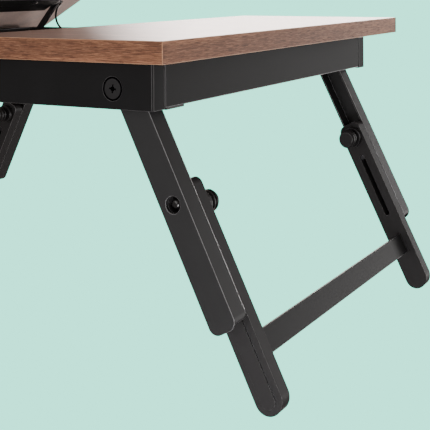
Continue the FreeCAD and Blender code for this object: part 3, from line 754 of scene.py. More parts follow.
def stand(place: Vector, out: Vector, spin: float = 0.0) -> Matrix:
    """Stand what is drawn along -Y on a point.

    Args:
        place: the point.
        out: where its outer end faces.
        spin: turn about its axis, in radians.

    Returns:
        The transform.
    """
    turn = Vector((0.0, -1.0, 0.0)).rotation_difference(out).to_matrix().to_4x4()
    return Matrix.Translation(place) @ turn @ Matrix.Rotation(spin, 4, "Y")


# --------------------------------------------------------------------------- pieces
def mesh_object(name: str, mesh: bmesh.types.BMesh) -> bpy.types.Object:
    """Make an object from a bmesh, which is freed.

    Args:
        name: name of the object and its mesh.
        mesh: its shape.

    Returns:
        The object.
    """
    data = bpy.data.meshes.new(name)
    mesh.to_mesh(data)
    mesh.free()
    item = bpy.data.objects.new(name, data)
    bpy.context.scene.collection.objects.link(item)
    return item


def settle(item: bpy.types.Object) -> None:
    """Apply an object's modifiers to its mesh.

    Args:
        item: the object.
    """
    graph = bpy.context.evaluated_depsgraph_get()
    applied = bpy.data.meshes.new_from_object(item.evaluated_get(graph))
    old = item.data
    item.modifiers.clear()
    item.data = applied
    name = old.name
    bpy.data.meshes.remove(old)
    applied.name = name


class Piece:
    """A mesh object that rides on a body and may stand for a CAD node.

    Attributes:
        CREASE: angle over which an edge shades sharp, in radians.
        body: the body that it rides on.
        object: the mesh object.
    """

    CREASE = 0.6

    def __init__(self, name: str, mesh: bmesh.types.BMesh, finishes: Sequence[Finish],
                 cutters: Sequence[bmesh.types.BMesh] = (),
                 placed: Optional[Matrix] = None) -> None:
        """Build the object, carve it, put it in its place and set its shading.

        Args:
            name: object name.
            mesh: its shape, which is freed.
            finishes: one per material index.
            cutters: shapes taken away, which are freed.
            placed: where the carved shape goes, or None if it is drawn there.
        """
        self.body = ""
        self.object = mesh_object(name, mesh)
        for finish in finishes:
            self.object.data.materials.append(FINISHES.get(finish))
        if cutters:
            self.carve(cutters)
        if placed is not None:
            self.object.data.transform(placed)
        self.shade()

    def carve(self, cutters: Sequence[bmesh.types.BMesh]) -> None:
        """Take every cutter away.

        Args:
            cutters: shapes taken away, which are freed.
        """
        tools = [mesh_object("cutter", cutter) for cutter in cutters]
        for tool in tools:
            step = self.object.modifiers.new("carve", "BOOLEAN")
            step.operation = "DIFFERENCE"
            step.solver = "EXACT"
            step.object = tool
        settle(self.object)
        for tool in tools:
            data = tool.data
            bpy.data.objects.remove(tool)
            bpy.data.meshes.remove(data)

    def shade(self) -> None:
        """Keep large faces flat, so that the light turns only over the broken edges."""
        mesh = bmesh.new()
        mesh.from_mesh(self.object.data)
        for face in mesh.faces:
            face.smooth = True
        for edge in mesh.edges:
            edge.smooth = (len(edge.link_faces) == 2
                           and edge.calc_face_angle(0.0) < self.CREASE)
        mesh.to_mesh(self.object.data)
        mesh.free()
        self.object.modifiers.new("even", "WEIGHTED_NORMAL").keep_sharp = True
        settle(self.object)

    def beside(self, node: str) -> "Piece":
        """Ride with a node.

        Args:
            node: CAD node.

        Returns:
            This piece.
        """
        self.body = body_of(node)
        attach(self.object, self.body)
        slot_of(node)
        return self

    def instead_of(self, node: str) -> "Piece":
        """Ride with a node and stand for it.

        Args:
            node: CAD node.

        Returns:
            This piece.
        """
        self.beside(node)
        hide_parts(node)
        return self


@dataclass(frozen=True)
class CrossRecess:
    """Cross recess of a screw head: two tapering arms and a middle.

    Attributes:
        reach: half the span of the arms.
        depth: depth of the arms.
        arm_width: width of an arm at the top, in reaches.
        floor_length: length of an arm at its floor, in top lengths.
        floor_width: width of an arm at its floor, in top widths.
        middle: radius of the middle, in reaches.
        middle_rim: how deep the middle keeps its radius, in depths.
        middle_depth: depth of the middle, in depths.
        steps: segments round the middle.
    """

    reach: float
    depth: float
    arm_width: float = 0.36
    floor_length: float = 0.45
    floor_width: float = 0.6
    middle: float = 0.42
    middle_rim: float = 0.2
    middle_depth: float = 1.35
    steps: int = 12

    def cutters(self, place: Vector, out: Vector, material: int,
                spin: float = 0.0) -> List[bmesh.types.BMesh]:
        """Shape what is taken out of the head.

        Args:
            place: middle of the head's outer face.
            out: outward direction.
            material: material index of the cut faces.
            spin: turn about the axis, in radians.

        Returns:
            The cutters.
        """
        made = []
        for quarter in (0.0, math.pi / 2.0):
            arm = block((2.0 * self.reach, 2.0 * self.depth, self.arm_width * self.reach))
            bmesh.ops.scale(arm, vec=(self.floor_length, 1.0, self.floor_width),
                            verts=[vert for vert in arm.verts if vert.co.y > 0.0])
            arm.transform(stand(place, out, spin + quarter))
            made.append(arm)
        radius, deep = self.middle * self.reach, self.depth
        middle = turned(((0.0, -deep), (radius, -deep), (radius, self.middle_rim * deep),
                         (0.0, self.middle_depth * deep)), self.steps)
        middle.transform(stand(place, out, spin))
        made.append(middle)
        for cutter in made:
            for face in cutter.faces:
                face.material_index = material
        return made


@dataclass(frozen=True)
class Screw:
    """Pan-head screw with a cross recess, a quarter sunk in its seat.

    Attributes:
        radius: radius of the head.
        tallness: height of the head, in radii.
        outline: (radius, height) pairs of the head, in radii and heights.
        recess_reach: reach of the recess, in radii.
        recess_depth: depth of the recess, in heights.
        recess_top: where the recess starts, in heights.
        steps: segments round the head.
    """

    radius: float
    tallness: float = 0.38
    outline: Profile = ((0.0, 0.25), (1.0, 0.25), (1.0, -0.35), (0.88, -0.75), (0.6, -1.0),
                        (0.0, -1.06))
    recess_reach: float = 0.58
    recess_depth: float = 0.8
    recess_top: float = 1.05
    steps: int = 28

    def drive(self, name: str, place: Vector, out: Vector, spin: float, node: str) -> Piece:
        """Put one screw in.

        Args:
            name: name of the piece.
            place: middle of its seat.
            out: where the head faces.
            spin: turn of the recess, in radians.
            node: CAD node that it fastens.

        Returns:
            The screw.
        """
        tall = self.tallness * self.radius
        head = turned([(part * self.radius, height * tall) for part, height in self.outline],
                      self.steps)
        outward = Vector((0.0, -1.0, 0.0))
        recess = CrossRecess(self.recess_reach * self.radius, self.recess_depth * tall)
        cutters = recess.cutters(outward * self.recess_top * tall, outward,
                                 HeadSurface.RECESS_SHADE)
        return Piece(name, head, [SCREW, RECESS_SHADE], cutters,
                     stand(place, out, spin)).beside(node)


# --------------------------------------------------------------------------- sub-assemblies
@dataclass(frozen=True)
class Motion:
    """Joints of the table in its stored pose.

    Attributes:
        joints: joints of the record, by name.
    """

    joints: Dict[str, dict]

    @classmethod
    def read(cls) -> "Motion":
        """Take the joints from the frame."""
        return cls({joint["name"]: joint
                    for joint in frame["record"]["behaviour"]["joints"]})

    def point(self, joint: str) -> Vector:
        """A point on a joint's axis."""
        return Vector(self.joints[joint]["pos_m"])

    def axis(self, joint: str) -> Vector:
        """Direction of a joint's axis."""
        return Vector(self.joints[joint]["axis"])

    @property
    def hinge(self) -> Vector:
        """A point on the panel's hinge axis."""
        return self.point("panel_tilt")

    @property
    def raised(self) -> float:
        """Stored tilt of the panel, in radians."""
        return math.radians(-self.joints["panel_tilt"]["range_deg"][0])

    @property
    def lift(self) -> Matrix:
        """Turn from the closed panel to the stored one."""
        return turn_about(self.hinge, -self.raised)

    def on_panel(self, along: float, across: float, up: float) -> Vector:
        """Point of the stored panel.

        Args:
            along: distance from the hinge towards +X with the panel closed.
            across: place along Y.
            up: height over the hinge with the panel closed.

        Returns:
            The point.
        """
        return self.lift @ Vector((self.hinge.x + along, across, self.hinge.z + up))

    @property
    def panel_underside(self) -> Vector:
        """Where the stored panel's underside faces."""
        return self.lift.to_3x3() @ Vector((0.0, 0.0, -1.0))


@dataclass(frozen=True)
class Boards:
    """Laminated boards: printed faces, banded edges and pale cut arrises.

    Attributes:
        arris: width of the cut arris.
    """

    arris: float = 0.42 * MM

    NODES = ("fixed_board", "tilt_panel")

    def build(self, motion: Motion) -> List[Piece]:
        """Dress both boards.

        Args:
            motion: the table's joints.

        Returns:
            The boards.
        """
        closing = (Matrix.Identity(4), turn_about(motion.hinge, motion.raised))
        return [self.board(node, flat) for node, flat in zip(self.NODES, closing)]

    def board(self, node: str, flat: Matrix) -> Piece:
        """Rebuild a board square on, dress it and turn it back.

        Args:
            node: the board's CAD node.
            flat: turn that lays it square on.

        Returns:
            The board.
        """
        solid = node_mesh(node)
        solid.transform(flat)
        low, high = corners([vert.co for vert in solid.verts])
        solid.free()
        mesh = block(high - low, (low + high) / 2)
        mesh.normal_update()
        for face in mesh.faces:
            face.material_index = self.surface(face.normal)
        break_edges(mesh, mesh.edges[:], self.arris, BoardSurface.ARRIS)
        mesh.transform(flat.inverted())
        return Piece("laminate_" + node, mesh,
                     [TOP_GRAIN, EDGE_X, EDGE_Y, ARRIS, UNDER_GRAIN]).instead_of(node)

    def surface(self, normal: Vector) -> BoardSurface:
        """Tell which surface of a board faces a way.

        Args:
            normal: the way, with the board square on.

        Returns:
            The surface.
        """
        if abs(normal.y) > 0.5:
            return BoardSurface.LONG_EDGE
        if abs(normal.x) > 0.5:
            return BoardSurface.CROSS_EDGE
        return BoardSurface.UNDERSIDE if normal.z < -0.5 else BoardSurface.TOP


@dataclass(frozen=True)
class Skin:
    """How the nodes whose names start alike are dressed.

    Attributes:
        start: start of their names.
        coat: their finish.
        edge: width of the broken edges, or 0.
        dome: rounding of the outermost end along Y, or 0.
        fatten: growth of the whole surface, or 0.
        flattens: whether the piece gets a mesh of its own.
    """

    start: str
    coat: Coat
    edge: float = 0.25 * MM
    dome: float = 0.0
    fatten: float = 0.0
    flattens: bool = False


@dataclass(frozen=True)
class Hardware:
    """Frame, legs, drawer and mechanism, with sharp edges broken so that they catch the light.

    Attributes:
        recess: cross recess of the pivot screws.
        right_spin: turn of the right pivots' recesses, in radians.
        left_spin: turn of the left pivots' recesses, in radians.
        flat_deg: angle under which facets are joined.
        sharp_deg: angle over which an edge is broken.
        dome_steps: segments over a dome.
        pressed: share of a spring's height that is left when the panel is closed; not used.
    """

    recess: CrossRecess = CrossRecess(4.1 * MM, 1.8 * MM)
    right_spin: float = 0.25
    left_spin: float = 0.9
    flat_deg: float = 1.0
    sharp_deg: float = 35.0
    dome_steps: int = 6
    pressed: float = 0.04

    SKINS = (
        Skin("rail_", FRAME_COAT, edge=0.7 * MM),
        Skin("cross_rail", FRAME_COAT),
        Skin("cap_", CAP_COAT, edge=0.5 * MM),
        Skin("pivot_", HARDWARE),
        Skin("hinge_pin", STEEL),
        Skin("hinge_", HARDWARE),
        Skin("runner_", HARDWARE),
        Skin("slide_", HARDWARE),
        Skin("prop_", HARDWARE),
        Skin("spring_studs", HARDWARE),
        Skin("brace_end", HARDWARE),
        Skin("panel_brace", BRACE_COAT, edge=0.8 * MM),
        Skin("bow_spring", WIRE, edge=0.0, fatten=0.25 * MM, flattens=True),
        Skin("drawer_front", DRAWER_COAT, edge=0.7 * MM),
        Skin("drawer_tray", PLASTIC),
        Skin("upper_leg", LEG_COAT, edge=0.5 * MM),
        Skin("lower_leg", LOWER_COAT, edge=0.6 * MM),
        Skin("cross_bar", BAR_COAT, edge=0.5 * MM),
        Skin("plunger_bushes", PLASTIC),
        Skin("knob_", PLASTIC, edge=0.9 * MM, dome=2.6 * MM),
        Skin("guide_pin", STEEL),
    )

    def build(self, motion: Motion) -> List[Piece]:
        """Dress every node but the boards.

        Args:
            motion: the table's joints.

        Returns:
            The pieces.
        """
        made = []
        for node in frame["nodes"]:
            if node in Boards.NODES:
                continue
            skin = next(skin for skin in self.SKINS if node.startswith(skin.start))
            cutters = self.pivot_cutters(node, motion) if node == "pivot_screws" else ()
            made.append(self.soften(node, skin, cutters))
        return made

    def soften(self, node: str, skin: Skin, cutters: Sequence[bmesh.types.BMesh]) -> Piece:
        """Break a node's edges and coat it.

        Args:
            node: CAD node.
            skin: how it is dressed.
            cutters: shapes taken away.

        Returns:
            The piece.
        """
        mesh = node_mesh(node)
        bmesh.ops.dissolve_limit(mesh, angle_limit=math.radians(self.flat_deg),
                                 verts=mesh.verts, edges=mesh.edges)
        for face in mesh.faces:
            face.material_index = NodeSurface.COAT
        if skin.dome > 0.0:
            self.dome(mesh, skin.dome)
        if skin.edge > 0.0:
            # Broken edges take the paler coat, a painted highlight.
            sharp = [edge for edge in mesh.edges if len(edge.link_faces) == 2
                     and math.degrees(edge.calc_face_angle(0.0)) > self.sharp_deg]
            break_edges(mesh, sharp, skin.edge, NodeSurface.HIGHLIT_EDGE, clamp=True)
        if skin.fatten > 0.0:
            mesh.normal_update()
            for vert in mesh.verts:
                vert.co += vert.normal * skin.fatten
        piece = Piece("soft_" + node, mesh, [skin.coat, skin.coat.edge_highlight_coat(), RECESS_SHADE, GLOSS],
                      cutters).instead_of(node)
        if skin.flattens:
            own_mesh(piece.object)
        return piece

    def dome(self, mesh: bmesh.types.BMesh, width: float) -> None:
        """Round the outermost end along Y into a glossy dome.

        Args:
            mesh: the mesh, which is changed.
            width: width of the rounding.
        """
        outer = max(abs(vert.co.y) for vert in mesh.verts) - GRAZE
        for face in mesh.faces:
            if min(abs(vert.co.y) for vert in face.verts) > outer:
                face.material_index = NodeSurface.GLOSS
        rim = [edge for edge in mesh.edges
               if min(abs(vert.co.y) for vert in edge.verts) > outer]
        break_edges(mesh, rim, width, NodeSurface.GLOSS, steps=self.dome_steps, clamp=True)

    def pivot_cutters(self, node: str, motion: Motion) -> List[bmesh.types.BMesh]:
        """Shape the cross recesses of the pivot screws.

        Args:
            node: CAD node of the pivot screws.
            motion: the table's joints.

        Returns:
            The cutters.
        """
        low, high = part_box(node)
        made = []
        for joint, spin in (("right_leg_fold", self.right_spin),
                            ("left_leg_fold", self.left_spin)):
            pivot = motion.point(joint)
            for y, out in ((low.y, -1.0), (high.y, 1.0)):
                made += self.recess.cutters(Vector((pivot.x, y, pivot.z)),
                                            Vector((0.0, out, 0.0)), NodeSurface.RECESS_SHADE,
                                            spin + y)
        return made


@dataclass(frozen=True)
class PivotGapShades:
    """Near-black rings round the flush heads of the leg pivots: painted shade in the gap.

    Attributes:
        inner: inner radius.
        outer: outer radius.
        slope: width of the slopes at both rims.
        proud: height over the rail.
        sunk: depth in the rail.
        steps: segments round a seat.
    """

    inner: float = 7.0 * MM
    outer: float = 8.3 * MM
    slope: float = 0.15 * MM
    proud: float = 0.10 * MM
    sunk: float = 0.5 * MM
    steps: int = 48

    def build(self, motion: Motion) -> List[Piece]:
        """Put a painted shade ring round every pivot head.

        Args:
            motion: the table's joints.

        Returns:
            The rings.
        """
        profile = ((self.inner, self.sunk), (self.inner, 0.0),
                   (self.inner + self.slope, -self.proud),
                   (self.outer - self.slope, -self.proud), (self.outer, 0.0),
                   (self.outer, self.sunk), (self.inner, self.sunk))
        made = []
        for end in ("right", "left"):
            pivot = motion.point(end + "_leg_fold")
            for side, y, out in (("near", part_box("rail_near")[0].y, -1.0),
                                 ("far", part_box("rail_far")[1].y, 1.0)):
                ring = turned(profile, self.steps)
                ring.transform(stand(Vector((pivot.x, y, pivot.z)), Vector((0.0, out, 0.0))))
                made.append(Piece("pivot_gap_shade_%s_%s" % (end, side), ring,
                                  [RECESS_SHADE]).beside("pivot_screws"))
        return made


@dataclass(frozen=True)
class LegHighlightBeads:
    """Pale beads along the inner edges of the upper legs' outer flanges: painted highlights.

    Attributes:
        radius: radius of a bead.
        top_gap: distance from the flange's upper end.
        foot_gap: distance from its lower end.
    """

    radius: float = 0.28 * MM
    top_gap: float = 1.5 * MM
    foot_gap: float = 1.0 * MM

    def build(self, motion: Motion) -> List[Piece]:
        """Lay a painted highlight bead on every upper leg.

        Args:
            motion: the table's joints.

        Returns:
            The beads.
        """
        return [self.bead(node, motion) for node in frame["nodes"]
                if node.startswith("upper_leg")]

    def bead(self, node: str, motion: Motion) -> Piece:
        """Lay a painted highlight bead on one upper leg.

        Args:
            node: CAD node of the leg.
            motion: the table's joints.

        Returns:
            The bead.
        """
        _, _, end, side = node.split("_")
        pivot = motion.point(end + "_leg_fold")
        down = -motion.axis(end + "_leg_length")
        out = Vector((-down.z, 0.0, down.x)) * (1.0 if end == "right" else -1.0)
        mesh = node_mesh(node)
        reach = max((vert.co - pivot).dot(out) for vert in mesh.verts)
        flange = [vert.co.copy() for vert in mesh.verts
                  if (vert.co - pivot).dot(out) > reach - GRAZE]
        mesh.free()
        along = [(point - pivot).dot(down) for point in flange]
        inner = min((point.y for point in flange), key=abs)
        corner = pivot + out * (reach - GRAZE)
        corner.y = inner + math.copysign(GRAZE, inner)
        line = bar(corner + down * (min(along) + self.top_gap),
                   corner + down * (max(along) - self.foot_gap), self.radius)
        # Near beads are pale metal, far beads take the leg's paler edge coat: both painted
        # highlights.
        shine = BEAD_HIGHLIGHT if side == "near" else LEG_COAT.edge_highlight_coat()
        return Piece("edge_bead_%s_%s" % (end, side), line, [shine]).beside(node)


@dataclass(frozen=True)
class KnobGrips:
    """Grooved grip rings on the pull knobs.

    Attributes:
        outline: (radius, height) pairs of a ring, in millimetres.
        tip: length of the knob's tip, whose middle the ring takes.
        inset: distance of the ring's zero height from the tip.
    """

    outline: Profile = ((6.0, -1.2), (7.6, -1.2), (8.3, -1.8), (8.3, -3.0), (7.3, -3.4),
                        (7.3, -4.2), (8.3, -4.6), (8.3, -5.8), (7.6, -6.4), (6.0, -6.4),
                        (6.0, -1.2))
    tip: float = 6.0 * MM
    inset: float = 7.6 * MM

    def build(self, motion: Motion) -> List[Piece]:
        """Put a ring on every knob.

        Args:
            motion: the table's joints; not used.

        Returns:
            The rings.
        """
        return [self.ring(node) for node in frame["nodes"] if node.startswith("knob_")]

    def ring(self, node: str) -> Piece:
        """Put a ring on one knob.

        Args:
            node: CAD node of the knob.

        Returns:
            The ring.
        """
        low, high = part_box(node)
        tip, way = (high.y, 1.0) if low.y < 0.0 else (low.y, -1.0)
        mesh = node_mesh(node)
        near, far = corners([vert.co for vert in mesh.verts
                             if abs(vert.co.y - tip) < self.tip])
        mesh.free()
        middle, out = (near + far) / 2, Vector((0.0, way, 0.0))
        ring = turned([(radius * MM, height * MM) for radius, height in self.outline])
        ring.transform(stand(Vector((middle.x, tip, middle.z)) - out * self.inset, out))
        return Piece("grip_" + node, ring, [PLASTIC]).beside(node)


@dataclass(frozen=True)
class HingeScrews:
    """Three screws in every hinge leaf.

    Attributes:
        screw: the screw.
        shares: their places along a leaf, as shares of its length.
        from_pin: distance from the pin.
        rail_leaf: outer face of the rail leaf, from the pin.
        panel_leaf: outer face of the panel leaf, from the pin.
        rail_spin: turn of a rail leaf's first recess, in radians.
        panel_spin: turn of a panel leaf's first recess.
        spin_step: turn from one recess to the next.
    """

    screw: Screw = Screw(2.3 * MM)
    shares: Tuple[float, ...] = (0.14, 0.5, 0.86)
    from_pin: float = 12.5 * MM
    rail_leaf: float = 2.3 * MM
    panel_leaf: float = 2.1 * MM
    rail_spin: float = 0.4
    panel_spin: float = 0.9
    spin_step: float = 1.0

    def build(self, motion: Motion) -> List[Piece]:
        """Fill every leaf.

        Args:
            motion: the table's joints.

        Returns:
            The screws.
        """
        made = []
        for side in ("near", "far"):
            low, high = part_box("hinge_pin_" + side)
            for index, share in enumerate(self.shares):
                y = low.y + share * (high.y - low.y)
                spin = self.spin_step * index
                seat = Vector((motion.hinge.x + self.rail_leaf, y,
                               motion.hinge.z - self.from_pin))
                made.append(self.screw.drive("rail_leaf_screw_%s_%d" % (side, index), seat,
                                             Vector((-1.0, 0.0, 0.0)), self.rail_spin + spin,
                                             "hinge_rail_leaf_" + side))
                seat = motion.on_panel(-self.from_pin, y, self.panel_leaf)
                made.append(self.screw.drive("panel_leaf_screw_%s_%d" % (side, index), seat,
                                             motion.panel_underside, self.panel_spin + spin,
                                             "hinge_panel_leaf_" + side))
        return made


@dataclass(frozen=True)
class Stiffener:
    """Screws of the panel's stiffening bar, and its second strip towards the hinge.

    Attributes:
        screw: the screw.
        rows: places of the screws along Y.
        from_hinge: distance of the screws from the hinge.
        seat: height of their seats over the hinge.
        spin_step: turn from one recess to the next, in radians.
        strip_width: width of the second strip.
        strip_height: its height.
        strip_from_hinge: distance of its middle from the hinge.
        strip_edge: width of its broken edges.
    """

    screw: Screw = Screw(3.0 * MM)
    rows: Tuple[float, ...] = (-88.0 * MM, -30.0 * MM, 30.0 * MM, 88.0 * MM)
    from_hinge: float = 75.0 * MM
    seat: float = -3.7 * MM
    spin_step: float = 0.3
    strip_width: float = 14.2 * MM
    strip_height: float = 6.6 * MM
    strip_from_hinge: float = 61.0 * MM
    strip_edge: float = 0.7 * MM

    def build(self, motion: Motion) -> List[Piece]:
        """Put the screws in and lay the strip.

        Args:
            motion: the table's joints.

        Returns:
            The screws and the strip.
        """
        made = [self.screw.drive("brace_screw_%d" % index,
                                 motion.on_panel(self.from_hinge, y, self.seat),
                                 motion.panel_underside, self.spin_step * index,
                                 "panel_brace")
                for index, y in enumerate(self.rows)]
        length = 2.0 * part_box("brace_end_far")[0].y
        strip = block((self.strip_width, length, self.strip_height),
                      (motion.hinge.x + self.strip_from_hinge, 0.0, motion.hinge.z),
                      self.strip_edge)
        strip.transform(motion.lift)
        made.append(Piece("brace_lip", strip, [BRACE_COAT]).beside("panel_brace"))
        return made


@dataclass(frozen=True)
class CrossRailScrews:
    """Screws up through the cross rail.

    Attributes:
        screw: the screw.
        rows: their places along Y.
        spin_step: turn from one recess to the next, in radians.
    """

    screw: Screw = Screw(2.8 * MM)
    rows: Tuple[float, ...] = (-105.0 * MM, -35.0 * MM, 35.0 * MM, 105.0 * MM)
    spin_step: float = 0.5

    def build(self, motion: Motion) -> List[Piece]:
        """Put the screws in.

        Args:
            motion: the table's joints; not used.

        Returns:
            The screws.
        """
        low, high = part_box("cross_rail")
        return [self.screw.drive("cross_rail_screw_%d" % index,
                                 Vector(((low.x + high.x) / 2, y, low.z)),
                                 Vector((0.0, 0.0, -1.0)), self.spin_step * index,
                                 "cross_rail")
                for index, y in enumerate(self.rows)]


@dataclass(frozen=True)
class SpringEyes:
    """Eyes of the bow springs round their studs.

    Attributes:
        radius: radius of an eye, to the middle of the wire.
        wire: radius of the wire.
        wire_steps: segments round the wire.
        steps: segments round an eye.
    """

    radius: float = 3.0 * MM
    wire: float = 0.8 * MM
    wire_steps: int = 10
    steps: int = 28

    def build(self, motion: Motion) -> List[Piece]:
        """Close an eye round every stud.

        Args:
            motion: the table's joints; not used.

        Returns:
            The eyes.
        """
        angles = [2.0 * math.pi * step / self.wire_steps
                  for step in range(self.wire_steps + 1)]
        profile = [(self.radius + self.wire * math.cos(angle), self.wire * math.sin(angle))
                   for angle in angles]
        low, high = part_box("spring_studs")
        near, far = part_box("bow_springs")
        made = []
        for side, y in (("near", near.y), ("far", far.y)):
            eye = turned(profile, self.steps)
            bmesh.ops.translate(eye, vec=((low.x + high.x) / 2, y - math.copysign(self.wire, y),
                                          (low.z + high.z) / 2), verts=eye.verts)
            made.append(Piece("spring_eye_" + side, eye, [WIRE]).beside("bow_springs"))
        return made


@dataclass(frozen=True)
class DrawerTrim:
    """Lip under the drawer's front and felt sheet on its floor.

    Attributes:
        lip: size of the lip along X, Y and Z.
        lip_back: distance of its middle from the front's outer face.
        lip_side: distance of its middle from the front's near end.
        lip_drop: distance of its middle below the front.
        lip_edge: width of its broken edges.
        floor: thickness of the tray's floor.
        margin: what the felt leaves free of the tray's length and width.
        felt: thickness of the felt.
        lift: height of the felt's middle over the floor.
    """

    lip: Tuple[float, float, float] = (7.0 * MM, 17.0 * MM, 2.0 * MM)
    lip_back: float = 4.5 * MM
    lip_side: float = 10.5 * MM
    lip_drop: float = 0.7 * MM
    lip_edge: float = 0.4 * MM
    floor: float = 2.0 * MM
    margin: float = 4.6 * MM
    felt: float = 0.6 * MM
    lift: float = 0.25 * MM

    def build(self, motion: Motion) -> List[Piece]:
        """Trim the drawer.

        Args:
            motion: the table's joints; not used.

        Returns:
            The lip and the felt.
        """
        low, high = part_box("drawer_front")
        lip = block(self.lip, (high.x - self.lip_back, low.y + self.lip_side,
                               low.z - self.lip_drop), self.lip_edge)
        low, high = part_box("drawer_tray")
        felt = block((high.x - low.x - self.margin, high.y - low.y - self.margin, self.felt),
                     ((low.x + high.x) / 2, (low.y + high.y) / 2,
                      low.z + self.floor + self.lift))
        return [Piece("front_lip", lip, [PLASTIC]).beside("drawer_tray"),
                Piece("drawer_liner", felt, [FELT]).beside("drawer_tray")]


# --------------------------------------------------------------------------- stage
@dataclass(frozen=True)
class Lens:
    """Camera matched to the viewing angle.

    Attributes:
        corner: nearest top corner of the fixed board.
        away: camera position from that corner, in metres.
        yaw: turn from +Y towards +X, in radians.
        pitch: downward angle in radians.
        roll: roll in radians.
        pixels: width and height of the frame, in pixels.
        focal: focal length in pixels.
        centre: principal point in pixels from the top left.
        sensor: sensor width in millimetres.
        clip: nearest and farthest distance seen, in metres.
    """

    corner: Vector
    away: Tuple[float, float, float] = (0.3609, -0.3895, 0.0371)
    yaw: float = -0.3322
    pitch: float = 0.008
    roll: float = 0.0051
    pixels: float = 430.0
    focal: float = 776.25
    centre: Tuple[float, float] = (503.9, -13.5)
    sensor: float = 36.0
    clip: Tuple[float, float] = (0.01, 200.0)

    def build(self) -> None:
        """Create the camera and make it the scene's.

        The frame is off the optical axis. The tripod leans the depth axis towards the middle of
        the frame, so the camera's own data stays centred and suits any other viewpoint.
        """
        focal = self.focal / self.pixels
        lean = Matrix.Identity(4)
        lean[0][2] = (self.centre[0] / self.pixels - 0.5) / focal
        lean[1][2] = (0.5 - self.centre[1] / self.pixels) / focal
        data = bpy.data.cameras.new("camera")
        data.sensor_width = self.sensor
        data.sensor_fit = "HORIZONTAL"
        data.lens = self.sensor * focal * lean.col[2].length
        data.clip_start, data.clip_end = self.clip
        camera = bpy.data.objects.new("camera", data)
        tripod = bpy.data.objects.new("tripod", None)
        for item in (tripod, camera):
            bpy.context.scene.collection.objects.link(item)
        turn = (Matrix.Rotation(-self.yaw, 4, "Z")
                @ Matrix.Rotation(math.pi / 2 - self.pitch, 4, "X")
                @ Matrix.Rotation(-self.roll, 4, "Z"))
        camera.parent = tripod
        camera.matrix_parent_inverse = (Matrix.Translation(self.corner + Vector(self.away))
                                        @ turn @ lean)
        bpy.context.scene.camera = camera


@dataclass(frozen=True)
class Lamp:
    """Square area light aimed at a point.

    Attributes:
        name: its name.
        place: where it hangs.
        target: what it is aimed at.
        size: length of its side.
        power: power in watts.
        colour: linear colour.
    """

    name: str
    place: Tuple[float, float, float]
    target: Tuple[float, float, float]
    size: float
    power: float
    colour: Colour

    def hang(self) -> None:
        """Put the light in the scene."""
        data = bpy.data.lights.new(self.name, "AREA")
        data.size = self.size
        data.energy = self.power
        data.color = self.colour
        lamp = bpy.data.objects.new(self.name, data)
        lamp.visible_camera = False
        bpy.context.scene.collection.objects.link(lamp)
        lamp.location = self.place
        run = Vector(self.target) - Vector(self.place)
        lamp.rotation_euler = run.to_track_quat("-Z", "Y").to_euler()


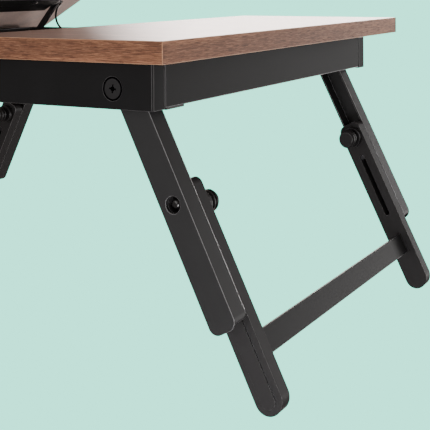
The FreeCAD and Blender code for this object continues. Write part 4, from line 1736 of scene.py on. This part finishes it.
@dataclass(frozen=True)
class Studio:
    """Pale floor, far backdrop, soft lights and world.

    Attributes:
        floor_reach: half the floor's width.
        backdrop_radius: radius of the backdrop.
        glow: strength of the bright patch of the surroundings.
        ambient: strength of the rest.
        floor_rough: roughness of floor and backdrop.
        floor_rough_noise: what the noise adds to it.
    """

    floor_reach: float = 60.0
    backdrop_radius: float = 28.0
    glow: float = 6.4
    ambient: float = 0.22
    floor_rough: float = 0.95
    floor_rough_noise: float = 0.05

    FLOOR_DARK = (24, 27, 26)
    FLOOR_PALE = (26, 29, 28)
    FLOOR_LIGHT = (0.5809, 2.4376, 1.8450)
    FLOOR_STRENGTH = 0.995
    SKY = (255, 240, 233)
    GLOW_BANDS = (("Y", 0.655, 0.765), ("Z", 0.62, 0.20), ("X", -0.02, -0.35))
    LAMPS = (
        Lamp("key", (2.2, -0.95, 0.75), (0.2, -0.1, 0.12), 0.5, 6.0, (1.0, 0.99, 0.975)),
        Lamp("fill", (-0.6, -2.2, 0.5), (0.1, 0.0, 0.1), 1.6, 12.0, (1.0, 0.99, 0.98)),
        Lamp("low", (0.38, -0.44, -0.08), (0.28, -0.13, 0.05), 0.22, 1.4, (1.0, 1.0, 1.0)),
        Lamp("side", (1.15, 1.35, -0.12), (0.2, 0.05, 0.2), 0.8, 12.0, (1.0, 0.985, 0.97)),
        Lamp("rim", (0.85, 1.70, 0.50), (0.25, 0.13, 0.15), 0.4, 5.0, (1.0, 0.99, 0.98)),
        Lamp("top", (0.1, 0.3, 2.2), (0.0, 0.0, 0.2), 1.6, 18.0, (1.0, 0.99, 0.98)),
    )

    def build(self) -> None:
        """Set the stage, its surroundings and its lights."""
        self.floor()
        self.world()
        for lamp in self.LAMPS:
            lamp.hang()

    def floor(self) -> None:
        """Large pale floor and a far backdrop of the same tone, with hardly any shadow."""
        graph = Surface("pale_floor")
        tone = graph.noise(graph.place(), Noise(3.0))
        graph.set("Base Color", graph.blend(tone, srgb(*self.FLOOR_DARK),
                                            srgb(*self.FLOOR_PALE)))
        graph.set("Roughness", self.floor_rough + self.floor_rough_noise * tone)
        graph.set("Specular IOR Level", 0.0)
        graph.set("Emission Color", self.FLOOR_LIGHT)
        graph.set("Emission Strength", self.FLOOR_STRENGTH)
        ground = bmesh.new()
        bmesh.ops.create_grid(ground, x_segments=2, y_segments=2, size=self.floor_reach)
        shell = bmesh.new()
        bmesh.ops.create_uvsphere(shell, u_segments=48, v_segments=24,
                                  radius=self.backdrop_radius)
        for name, mesh in (("floor", ground), ("backdrop", shell)):
            item = mesh_object(name, mesh)
            item.data.materials.append(graph.material)
            item.visible_glossy = False
            item.visible_diffuse = False
            item.visible_shadow = False

    def world(self) -> None:
        """Pale surroundings, bright low down behind the table and dim elsewhere."""
        world = bpy.data.worlds.new("studio")
        world.use_nodes = True
        graph = Graph(world.node_tree)
        coords = Value(graph, graph.node("ShaderNodeTexCoord").outputs["Generated"])
        split = graph.node("ShaderNodeSeparateXYZ", sockets={"Vector": coords})
        bands = [Value(graph, split.outputs[axis]).step(start, end)
                 for axis, start, end in self.GLOW_BANDS]
        back = world.node_tree.nodes["Background"]
        graph.feed(back.inputs["Color"], srgb(*self.SKY))
        graph.feed(back.inputs["Strength"],
                   bands[0] * bands[1] * bands[2] * self.glow + self.ambient)
        bpy.context.scene.world = world


# --------------------------------------------------------------------------- table
SUB_ASSEMBLIES = (Boards(), Hardware(), PivotGapShades(), LegHighlightBeads(), KnobGrips(), HingeScrews(),
                  Stiffener(), CrossRailScrews(), SpringEyes(), DrawerTrim())


def main() -> None:
    """Build the looks."""
    logging.basicConfig(level=logging.INFO)
    motion = Motion.read()
    for part in SUB_ASSEMBLIES:
        for piece in part.build(motion):
            log.info("%s: %s rides on %s", type(part).__name__, piece.object.name, piece.body)
    Studio().build()
    low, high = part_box("fixed_board")
    Lens(Vector((high[0], low[1], high[2]))).build()


if __name__ == "__main__":
    main()
